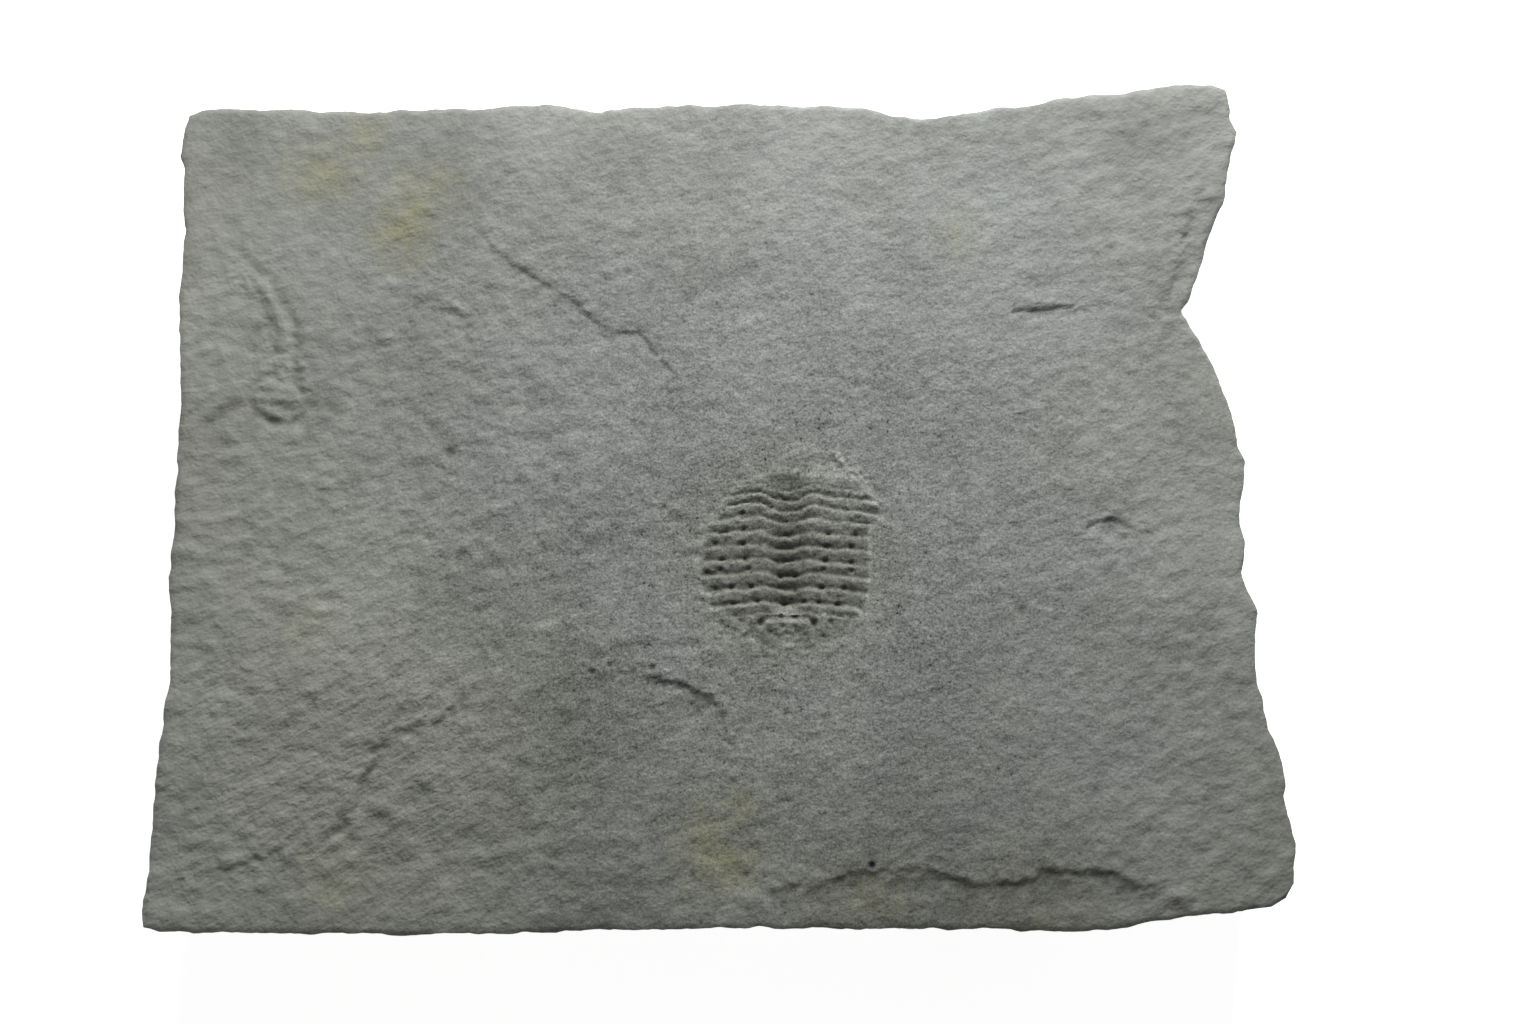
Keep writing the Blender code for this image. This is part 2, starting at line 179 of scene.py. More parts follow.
@dataclass(frozen=True)
class Ledge:
    """A step where a thin bed of the stone has flaked away."""

    line: BrokenLine
    low: LowSide
    drop: float
    reach: float
    width: float
    wander: float = 0.45
    # The next three set the painted shadow at the step's foot, with a little dirt: its strength, the
    # share in a thin line, and how far the band over the low side reaches.
    dirt_and_shade: float = 0.6
    line_shade: float = 0.75
    shade: float = 1.4
    gaps: float = 1.0
    spotty: float = 1.5
    taper: float = 0.35
    strongest: float | None = None

    def shape(self, x: Array, y: Array) -> tuple[Array, Array]:
        """Works out the step's relief.

        Args:
            x: The places' x.
            y: The places' y.

        Returns:
            The height that the step adds, which is never above 0, and how dark its foot is, 0 to 1:
            painted shadow under the step, fading over the low side, with a little dirt.
        """
        flat = places_of(x, y)
        x = x + self.wander * (ripple(flat, 2.1, 1.0) + 0.8 * ripple(flat, 0.8, 2.0, 2))
        y = y + self.wander * (ripple(flat, 2.3, 3.0) + 0.8 * ripple(flat, 0.9, 4.0, 2))
        distance, share, side = self.line.beside(x, y)
        into_low = distance * side * self.low.value
        fade = np.sin(np.pi * np.clip(share, 0.0, 1.0)) ** self.taper
        fade *= np.clip(0.75 + self.gaps * ripple(flat, 2.4, 5.0, 2), 0.15, 1.3)
        if self.strongest is not None:
            fade *= 0.5 + 0.8 * bump((share - self.strongest) / 0.3)
        step = ease(into_low / self.width + 0.5)
        beyond = np.clip(into_low, 0.0, None)
        height = -self.drop * fade * step * np.exp(-beyond / self.reach)
        # The foot's dark is painted shadow: a thin line under the step and a band fading over the
        # low side.
        spots = np.clip(1.0 - 0.3 * self.spotty + self.spotty * ripple(flat, 0.8, 6.0, 2), 0.0, 1.0)
        foot = self.line_shade * bump((into_low - 0.3 * self.width) / (0.4 * self.width + 0.12))
        foot += (1.1 - self.line_shade) * step * np.exp(-beyond / self.shade)
        return height, np.clip(self.dirt_and_shade * fade * spots * foot, 0.0, 1.0)


@dataclass(frozen=True)
class Outline:
    """The slab's four broken edges. Each runs towards +X or towards +Y."""

    near: tuple[Point, ...] = (
        (-54.2, -42.6), (-52.7, -43.0), (-44.0, -43.2), (-31.0, -43.3), (-21.0, -43.2),
        (-11.0, -43.0), (-3.0, -42.8), (6.0, -42.7), (21.0, -42.8), (34.3, -43.0), (39.6, -42.7),
        (43.7, -41.9), (49.1, -41.3), (53.4, -40.7), (55.0, -40.0),
    )
    far: tuple[Point, ...] = (
        (-55.6, 40.0), (-54.3, 40.4), (-49.0, 40.6), (-43.0, 40.5), (-36.5, 40.3), (-29.0, 40.5),
        (-23.0, 40.6), (-17.6, 41.0), (-12.5, 40.2), (-7.5, 40.6), (-3.0, 41.0), (-0.5, 40.8),
        (3.4, 41.3), (6.9, 41.0), (14.1, 40.9), (16.6, 40.4), (19.1, 39.6), (22.4, 39.3),
        (25.4, 39.8), (29.2, 40.6), (33.0, 41.0), (36.9, 41.9), (42.0, 42.2), (45.8, 42.8),
        (49.6, 43.3), (52.2, 43.3), (53.7, 42.8),
    )
    left: tuple[Point, ...] = (
        (-54.2, -42.6), (-54.5, -41.3), (-54.1, -37.0), (-54.0, -29.0), (-53.7, -23.0),
        (-53.4, -19.6), (-53.7, -12.5), (-54.1, -10.0), (-54.1, 5.8), (-54.3, 10.9), (-54.6, 14.7),
        (-55.0, 19.8), (-54.8, 23.7), (-55.2, 28.9), (-55.5, 31.5), (-55.6, 34.2), (-56.0, 35.5),
        (-55.9, 38.6), (-55.6, 40.0),
    )
    right: tuple[Point, ...] = (
        (55.0, -40.0), (55.8, -38.6), (56.2, -35.1), (55.7, -32.7), (55.3, -30.4), (55.6, -29.7),
        (55.3, -27.4), (54.6, -25.0), (53.7, -22.0), (53.3, -18.4), (53.2, -15.0), (53.9, -12.5),
        (52.9, -10.5), (52.4, -8.5), (52.9, -5.7), (52.5, -3.6), (52.9, -1.0), (53.4, 2.8),
        (52.9, 4.5), (52.4, 7.8), (51.4, 10.8), (50.8, 12.9), (49.4, 15.4), (48.5, 17.1),
        (47.7, 18.6), (48.6, 19.7), (49.2, 21.4), (50.2, 24.0), (51.1, 26.6), (52.6, 30.1),
        (53.2, 32.8), (54.1, 36.3), (54.6, 38.1), (54.0, 40.0), (54.1, 41.7), (53.7, 42.8),
    )
    length: float = 111.0
    depth: float = 84.0
    chip: float = 0.24
    swell: float = 0.22
    crowded: float = 1.4

    def along(self, edge: tuple[Point, ...], share: Array, axis: int) -> Array:
        """Finds places on an edge by their share of its run along X (axis 0) or Y (axis 1)."""
        points = np.array(edge)
        run = points[0, axis] + (points[-1, axis] - points[0, axis]) * share
        return np.stack([np.interp(run, points[:, axis], points[:, i]) for i in (0, 1)])

    def margins(self, u: Array, v: Array) -> Array:
        """Gives the distances from the left, right, near and far edges, one row for each edge."""
        return np.stack([
            u * self.length, (1.0 - u) * self.length, v * self.depth, (1.0 - v) * self.depth,
        ])

    def outward(self, u: Array, v: Array, reach: float) -> Array:
        """Gives the level direction out of the slab, which fades to 0 at reach from an edge."""
        left, right, near, far = 1.0 - ease(self.margins(u, v) / reach)
        way = np.stack([right - left, far - near])
        return way / np.maximum(np.hypot(*way), 1.0)

    def crowd(self, share: Array, length: float) -> Array:
        """Draws the rows nearest to a run's ends out towards them, so that the rim is crisp."""
        end = np.minimum(share, 1.0 - share) * length
        end = np.where(end < self.crowded, end**2 / self.crowded, end) / length
        return np.where(share < 0.5, end, 1.0 - end)

    def place(self, u: Array, v: Array, below: Array | float = 0.0) -> Array:
        """Stretches a flat sheet to fill the outline, with small chips along its edges.

        Args:
            u: Each place's share of the way from the left edge to the right.
            v: Each place's share of the way from the near edge to the far.
            below: How far each place is below the face.

        Returns:
            A row of x and a row of y.
        """
        near, far = self.along(self.near, u, 0), self.along(self.far, u, 0)
        left, right = self.along(self.left, v, 1), self.along(self.right, v, 1)
        ends = (self.near[0], self.near[-1], self.far[0], self.far[-1])
        corners = [np.array(point)[:, None] for point in ends]
        across = (1.0 - v) * near + v * far + (1.0 - u) * left + u * right
        twice = (1.0 - v) * ((1.0 - u) * corners[0] + u * corners[1])
        twice = twice + v * ((1.0 - u) * corners[2] + u * corners[3])
        flat = across - twice
        places = np.stack([*flat, np.zeros_like(u) - below], axis=1)
        chips = self.swell + self.chip * ripple(places, 2.4, 11.0, 3)
        return flat + chips * self.outward(u, v, 2.0)


@dataclass(frozen=True)
class Mould:
    """The trilobite's mould: ribs over two side lobes and a sunken axis, and the small tail."""

    axis_x: float = 7.3
    centre: Point = (7.3, -6.8)
    border: tuple[Point, ...] = (
        (15.8, -7.5), (15.7, -5.0), (15.8, -3.9), (16.6, -2.8), (16.8, -1.9), (15.6, -0.3),
        (14.9, 0.7), (14.0, 1.4), (11.7, 1.5), (8.7, 1.6), (5.2, 1.7), (3.8, 1.1), (2.2, 0.3),
        (1.5, -0.9), (0.9, -2.1), (-0.5, -3.6), (-1.1, -5.2), (-1.2, -6.5), (-1.4, -9.1),
        (-0.9, -11.3), (-0.2, -12.9), (1.0, -14.1), (2.5, -15.0), (4.5, -15.9), (7.3, -16.3),
        (9.8, -16.1), (11.6, -15.4), (13.3, -14.3), (14.8, -13.0), (15.4, -11.4),
    )
    stations: tuple[float, ...] = (-1.2, 0.2, 1.5, 3.0, 4.8, 6.0, 7.3, 8.6, 9.8, 11.5, 14.0, 16.2)
    crests: tuple[tuple[float, ...], ...] = (
        (-0.1, -0.1, 0.0, 0.2, 0.35, -0.2, -0.45, -0.1, 0.3, -0.08, -0.38, -0.58),
        (-1.4, -1.3, -1.1, -0.75, -0.75, -1.3, -1.45, -1.4, -0.65, -1.08, -1.38, -1.68),
        (-2.4, -2.3, -2.05, -1.75, -1.75, -2.4, -2.55, -2.4, -1.9, -2.38, -2.58, -2.93),
        (-3.9, -3.7, -3.3, -3.35, -3.05, -3.65, -3.7, -3.6, -3.3, -3.63, -3.78, -3.98),
        (-5.0, -4.9, -4.8, -4.7, -4.6, -5.1, -5.1, -4.9, -4.7, -5.05, -5.15, -5.4),
        (-6.3, -6.3, -6.2, -6.15, -6.0, -6.45, -6.35, -6.25, -6.2, -6.45, -6.55, -6.8),
        (-7.8, -7.7, -7.65, -7.5, -7.35, -7.7, -7.7, -7.7, -7.55, -7.8, -8.05, -8.3),
        (-9.28, -9.08, -8.98, -8.88, -8.65, -9.05, -9.1, -9.0, -8.8, -9.0, -9.25, -9.6),
        (-11.08, -10.88, -10.58, -10.53, -10.35, -10.4, -10.6, -10.3, -10.4, -10.55, -10.8, -11.2),
        (-12.48, -12.28, -12.13, -11.98, -11.75, -11.8, -12.05, -11.9, -11.95, -12.15, -12.5, -12.9),
        (-13.58, -13.58, -13.48, -13.38, -13.1, -13.0, -13.0, -13.0, -13.1, -13.2, -13.5, -13.7),
    )
    rib_height: float = 0.17
    rib_profile: tuple[Point, ...] = (
        (0.0, 0.0), (0.14, 0.02), (0.3, -0.1), (0.5, -0.38), (0.64, -0.74), (0.73, -1.0),
        (0.79, -1.0), (0.9, -0.5), (1.0, 0.0),
    )
    groove_at: float = 0.74
    groove_half: float = 0.24
    bead_height: float = 0.07
    axis_depth: float = 0.95
    axis_half_front: float = 2.1
    axis_half_back: float = 1.4
    # Painted shade in the axis's sunken channel, by y, darkest in its middle.
    axis_shade: tuple[Point, ...] = (
        (-12.4, 0.0), (-11.4, 0.45), (-10.0, 0.7), (-6.0, 0.8), (-4.2, 0.45), (-3.2, 0.1),
        (-2.4, 0.0),
    )
    axis_shade_half: float = 2.0
    tint: tuple[Point, ...] = (
        (-16.0, 0.26), (-12.0, 0.35), (-10.0, 0.42), (-6.0, 0.4), (-4.0, 0.2), (-2.0, 0.06),
        (0.0, 0.03),
    )
    hairline: float = 0.22
    rise: float = 0.1
    pits: tuple[Point, ...] = (
        (2.85, -2.6), (2.95, -4.2), (0.15, -5.7), (2.85, -5.7), (0.75, -7.3), (3.15, -7.3),
        (-0.65, -8.6), (0.65, -8.3), (3.45, -8.2), (0.15, -10.2), (1.75, -10.1), (3.75, -10.0),
        (1.95, -11.7), (4.35, -11.5), (11.45, -4.7), (14.15, -4.8), (11.25, -5.9), (13.75, -6.0),
        (11.15, -7.4), (13.75, -7.6), (10.95, -8.3), (13.75, -8.4), (10.75, -10.1), (12.95, -10.2),
        (8.95, -11.5), (10.45, -11.6), (12.25, -11.8), (6.45, -7.7), (8.15, -8.9), (6.55, -9.0),
        (8.05, -10.4), (7.05, -11.7), (6.65, -13.0), (8.05, -13.0),
    )
    pit_radius: float = 0.5
    pit_depth: float = 0.25
    # Painted shade where the stone drops into the axis's channel at the front.
    front_shade_spot: Spot = (7.4, 1.0, 2.7, 0.62)
    clean_corner: tuple[float, float, float] = (12.8, 1.0, 3.6)
    arch: BrokenLine = BrokenLine((
        (3.9, -15.7), (4.2, -14.7), (4.6, -13.9), (5.2, -13.5), (6.1, -13.4), (7.3, -13.4),
        (8.5, -13.4), (9.3, -13.5), (9.6, -13.9), (9.7, -14.8), (9.8, -15.6),
    ))
    arch_height: float = 0.3
    ring_centre: Point = (7.3, -15.2)
    ring_radius: float = 0.85
    ring_height: float = 0.1
    tail_front: float = -12.4
    tail_share: float = 0.62
    sockets: tuple[Spot, ...] = (
        (4.7, -13.65, 0.6, 0.75), (9.9, -13.65, 0.6, 0.75), (2.8, -13.45, 0.4, 0.35),
        (6.8, -14.0, 0.4, 0.35), (8.0, -14.05, 0.4, 0.35), (11.7, -13.55, 0.5, 0.35),
        (3.9, -15.15, 0.5, 0.3), (5.6, -14.55, 0.4, 0.3), (9.0, -14.85, 0.4, 0.3),
        (2.2, -14.45, 0.4, 0.25),
    )
    tail_ridges: tuple[BrokenLine, ...] = (
        BrokenLine(((11.0, -12.9), (10.9, -14.6)), 0.5, 0.3),
        BrokenLine(((3.6, -13.2), (3.3, -14.4), (2.7, -15.1)), 0.4, 0.25),
        BrokenLine(((2.3, -13.5), (2.1, -14.2)), 0.4, 0.2),
        BrokenLine(((0.1, -12.8), (1.4, -13.0)), 1.0, 0.25),
        BrokenLine(((13.2, -13.1), (12.6, -14.3)), 0.4, 0.15),
        BrokenLine(((10.0, -15.7), (8.6, -16.2), (7.2, -16.1)), 0.4, 0.12),
    )
    spine: BrokenLine = BrokenLine(
        ((12.6, 3.9), (12.8, 2.7), (13.7, 1.9), (14.5, 1.4), (15.1, 0.5), (16.3, -1.0))
    )
    spine_height: float = 0.06
    spine_width: float = 0.35
    # Lines along which the stone is drawn lighter in colour.
    pale: tuple[BrokenLine, ...] = (
        BrokenLine((
            (12.4, 3.9), (12.7, 2.9), (13.5, 1.8), (14.4, 0.9), (15.5, -0.2), (16.3, -1.4),
        ), 0.5, 0.85),
        BrokenLine(((10.5, 2.4), (13.0, 1.6), (14.8, 0.9)), 1.3, 0.35),
        BrokenLine((
            (-0.3, -12.2), (0.9, -12.9), (2.1, -14.0), (3.1, -14.9), (4.3, -15.6),
        ), 0.8, 0.5),
        BrokenLine(((-0.6, -9.8), (-0.5, -11.0), (-0.3, -12.4)), 0.4, 0.5),
        BrokenLine(((15.6, -3.6), (15.6, -7.7), (15.4, -10.4), (15.2, -11.9)), 0.35, 0.6),
        BrokenLine(((10.8, -12.2), (10.5, -13.4), (10.7, -14.9)), 0.6, 0.4),
        BrokenLine(((14.2, -11.9), (14.6, -13.1), (15.3, -13.8)), 0.5, 0.4),
        BrokenLine(((3.8, 1.4), (1.4, -0.6), (-0.4, -3.4), (-1.2, -5.4)), 0.5, 0.35),
        BrokenLine(((7.4, -14.4), (7.4, -15.4)), 1.6, 0.3),
    )

    def inside(self, x: Array, y: Array) -> Array:
        """Measures in from the mould's border, along the ray from its centre, negative outside."""
        border = np.array(self.border) - self.centre
        angles = np.arctan2(border[:, 1], border[:, 0])
        order = np.argsort(angles)
        radii = np.hypot(*border.T)[order]
        dx, dy = x - self.centre[0], y - self.centre[1]
        border_out = np.interp(np.arctan2(dy, dx), angles[order], radii, period=2.0 * math.pi)
        return border_out - np.hypot(dx, dy)

    def phase(self, x: Array, y: Array) -> Array:
        """Counts the crests in front of each place, with the share of the way to the next one."""
        flat = places_of(x, y)
        y = y + 0.16 * ripple(flat, 1.3, 61.0) + 0.09 * ripple(flat, 0.5, 62.0)
        around = [x + reach for reach in (-0.5, -0.25, 0.0, 0.25, 0.5)]
        lines = np.stack([
            sum(np.interp(place, self.stations, crest) for place in around) / len(around)
            for crest in self.crests
        ])
        shares = np.clip((lines[:-1] - y) / (lines[:-1] - lines[1:]), 0.0, 1.0)
        return np.where(y > lines[0], lines[0] - y, shares.sum(axis=0))

    def ribs(self, x: Array, y: Array) -> tuple[Array, Array]:
        """Shapes the row of ribs.

        Args:
            x: The places' x.
            y: The places' y.

        Returns:
            The height over a crest, which is mostly below 0, and how deep in a groove a place is,
            0 to 1.
        """
        flat = places_of(x, y)
        phase = self.phase(x, y)
        part = phase - np.floor(phase)
        profile = np.interp(part, *np.array(self.rib_profile).T)
        hairs = ripple(drawn_out(flat, 0.0, 7.0), self.hairline, 67.0)
        groove = bump((part - self.groove_at) / self.groove_half) * (0.75 + 1.3 * hairs)
        in_axis = bump((x - self.axis_x + 0.2) / 2.0) * ease((-3.5 - y) / 2.0)
        height = self.rib_height * (1.0 + 0.7 * ripple(flat, 1.7, 63.0) + 1.5 * in_axis)
        last = ease((len(self.crests) - 1.2 - phase) / 0.2) * ease(phase / 0.3 + 1.0)
        beads = self.bead_height * lumps(flat, 1.1, 64.0)
        return (height * profile + beads * (1.0 - groove)) * last, groove * last

    def tail(self, x: Array, y: Array) -> tuple[Array, Array]:
        """Shapes the tail: its arch, ring, sockets and small ridges.

        Args:
            x: The places' x.
            y: The places' y.

        Returns:
            The height over the mould's floor, and how deep in a socket a place is, 0 to 1.
        """
        flat = places_of(x, y)
        x = x + 0.12 * ripple(flat, 0.8, 71.0)
        y = y + 0.12 * ripple(flat, 0.8, 72.0)
        from_arch, share, side = self.arch.beside(x, y)
        within = -side * from_arch
        ends = ease(share / 0.15) * ease((1.0 - share) / 0.15)
        arch = self.arch_height * ease((within + 0.1) / 0.3) * bump(within / 1.6)
        height = ends * (arch - 0.2 * bump((within + 0.35) / 0.35))
        from_ring = np.hypot(x - self.ring_centre[0], y - self.ring_centre[1])
        height += self.ring_height * bump((from_ring - self.ring_radius) / 0.35)
        for ridge in self.tail_ridges:
            height += ridge.mark(x, y)
        dark = np.zeros_like(x)
        for cx, cy, radius, depth in self.sockets:
            hole = bump(np.hypot(x - cx, y - cy) / radius)
            height -= 0.6 * depth * hole
            dark = np.maximum(dark, hole * min(1.0, depth * 1.2))
        on = ease((self.tail_front - y) / 0.6)
        height += 0.08 * lumps(flat, 1.0, 73.0) - 0.05
        return self.tail_share * height * on, 0.9 * dark * on

    def shape(self, x: Array, y: Array) -> tuple[Array, Array]:
        """Works out the whole mould.

        Args:
            x: The places' x.
            y: The places' y.

        Returns:
            The height that the mould adds to the face, and how dark each place is, 0 to 1: painted
            shade in the rib grooves, pits, sockets and axis and beside the spine, over the mould's
            own darker tint. It is negative where the stone is drawn lighter.
        """
        along = np.clip(-y / 13.0, 0.0, 1.0)
        half = self.axis_half_front + (self.axis_half_back - self.axis_half_front) * along
        across = np.abs(x - self.axis_x) / (1.3 * half)
        channel = bump(across**1.4) * ease((2.2 - y) / 7.0) ** 0.7 * ease((y + 13.0) / 1.2)
        shoulder = 0.1 * bump((np.abs(x - self.axis_x) - 1.25 * half) / 1.1)
        ribs, groove = self.ribs(x, y)
        tail, sockets = self.tail(x, y)
        flat = places_of(x, y)
        stray = 0.1 * ripple(flat, 0.7, 65.0)
        pits = np.zeros_like(x)
        for cx, cy in self.pits:
            away = np.hypot(x - cx, 1.4 * (y - cy)) / self.pit_radius + stray
            pits = np.maximum(pits, bump(np.clip(away, 0.0, 1.0)))
        spot_x, spot_y, spot_half, spot_shade = self.front_shade_spot
        front = bump((x - spot_x) / spot_half) ** 0.5 * bump((y - spot_y) / 0.75 + 4.0 * stray)
        rise = self.rise * ease((y + 15.5) / 4.0)
        body = rise + shoulder - self.axis_depth * channel + ribs + tail - self.pit_depth * pits
        edge = ease((self.inside(x, y) + 2.0 * stray) / 0.6)
        wander = 0.2 * ripple(flat, 0.8, 68.0)
        from_spine, share, side = self.spine.beside(x + wander, y - wander)
        spine = self.spine_height * bump(from_spine / self.spine_width) * ease(share / 0.1)
        gutter = bump((from_spine - 0.5) / 0.5) * (side < 0) * bump((share - 0.2) / 0.25)
        plate = 0.08 * lumps(flat, 0.8, 66.0) * bump(from_spine / 1.8)
        # Painted shade in the axis's channel, stronger in its grooves.
        channel_shade = bump((x - self.axis_x + 0.2) / self.axis_shade_half + stray)
        channel_shade *= np.interp(y, *np.array(self.axis_shade).T)
        channel_shade *= 0.58 + 0.5 * groove
        # Painted shade in the rib grooves, pits and sockets, in the axis's channel and at its front.
        dark = np.maximum.reduce([0.4 * groove, 0.9 * pits, sockets, channel_shade, front * spot_shade])
        corner_x, corner_y, reach = self.clean_corner
        tint = np.interp(y, *np.array(self.tint).T)
        tint *= 1.0 - 0.8 * bump(np.hypot(x - corner_x, y - corner_y) / reach)
        # The mould's own darker tint lies under the painted shade.
        dark = edge * (tint + (1.0 - tint) * np.clip(dark, 0.0, 1.0))
        patchy = np.clip(0.9 + 0.8 * ripple(flat, 0.9, 69.0, 2), 0.4, 1.2)
        pale = np.maximum.reduce([line.mark(x, y) for line in self.pale])
        height = edge * body + spine + plate - 0.03 * gutter
        # The gutter's dark is painted shade beside the spine.
        return height, np.maximum(dark, 0.35 * gutter) - pale * patchy


@dataclass(frozen=True)
class StemFossil:
    """The small fossil by the left edge: a bent stem that ends in a ringed knob with two barbs."""

    stem: BrokenLine = BrokenLine(
        ((-49.0, 24.0), (-47.3, 22.0), (-45.6, 19.4), (-44.5, 16.8), (-44.0, 14.1), (-44.3, 11.6))
    )
    stem_width: float = 1.15
    stem_height: float = 0.13
    knob_centre: Point = (-44.5, 9.7)
    knob_radius: float = 2.8
    knob_height: float = 0.1
    eye: Spot = (-44.5, 10.3, 1.0, 0.09)
    grooves: tuple[BrokenLine, ...] = (
        BrokenLine((
            (-47.75, 10.3), (-47.35, 9.1), (-46.65, 8.0), (-45.65, 7.15), (-44.45, 6.7),
            (-43.25, 6.75), (-42.25, 7.3), (-41.6, 8.0), (-41.2, 8.9),
        ), 0.65, 0.37),
        BrokenLine(((-46.55, 10.3), (-45.85, 8.9), (-44.95, 8.4), (-43.55, 8.3)), 0.4, 0.1),
        BrokenLine(((-46.85, 12.0), (-45.25, 11.8)), 0.7, 0.25),
        BrokenLine((
            (-49.25, 25.1), (-47.95, 23.5), (-45.85, 21.9), (-44.45, 19.4), (-43.25, 17.1),
            (-42.65, 14.1),
        ), 0.8, 0.26),
        BrokenLine(((-42.85, 13.1), (-42.65, 11.6), (-42.35, 9.9)), 0.9, 0.3),
        BrokenLine(((-47.15, 9.6), (-48.85, 8.7), (-50.35, 7.8), (-52.15, 6.5)), 1.1, 0.32),
        BrokenLine(((-42.45, 9.5), (-40.95, 8.9), (-39.35, 8.4), (-37.85, 7.8)), 0.9, 0.32),
        BrokenLine(((-52.85, 15.9), (-50.65, 16.3)), 0.7, 0.2),
        BrokenLine(((-53.45, 13.3), (-50.75, 14.2)), 0.7, 0.2),
        BrokenLine(((-47.65, 16.3), (-45.85, 17.3)), 0.8, 0.25),
    )
    groove_depth: float = 0.35
    # How strong the painted shade in the grooves is.
    groove_shade: float = 2.2

    def shape(self, x: Array, y: Array) -> tuple[Array, Array]:
        """Works out the small fossil's relief.

        Args:
            x: The places' x.
            y: The places' y.

        Returns:
            The height that it adds to the face, and how dark each place is, 0 to 1.
        """
        flat = places_of(x, y)
        x = x + 0.18 * ripple(flat, 1.5, 21.0) + 0.06 * ripple(flat, 0.6, 23.0)
        y = y + 0.18 * ripple(flat, 1.5, 22.0) + 0.06 * ripple(flat, 0.6, 24.0)
        distance, share, _ = self.stem.beside(x, y)
        stem = self.stem_height * bump(distance / self.stem_width) * ease(share / 0.3)
        out = np.hypot(x - self.knob_centre[0], y - self.knob_centre[1]) / self.knob_radius
        knob = self.knob_height * bump(np.clip(out, 0.0, 1.0) ** 1.5)
        eye_x, eye_y, eye_radius, eye_height = self.eye
        eye = eye_height * bump(np.hypot(x - eye_x, y - eye_y) / eye_radius)
        height = np.maximum(stem, knob + eye)
        dark = np.zeros_like(x)
        spots = np.clip(0.85 + 0.8 * ripple(flat, 1.1, 25.0, 2), 0.6, 1.0)
        for line in self.grooves:
            distance, share, _ = line.beside(x, y)
            ends = np.sin(np.pi * np.clip(share, 0.04, 0.96)) ** 0.3
            groove = bump(distance / line.radius) * spots * ends
            height -= self.groove_depth * line.strength * groove
            # The grooves' dark is painted shade.
            dark = np.maximum(dark, self.groove_shade * line.strength * groove)
        return height, dark


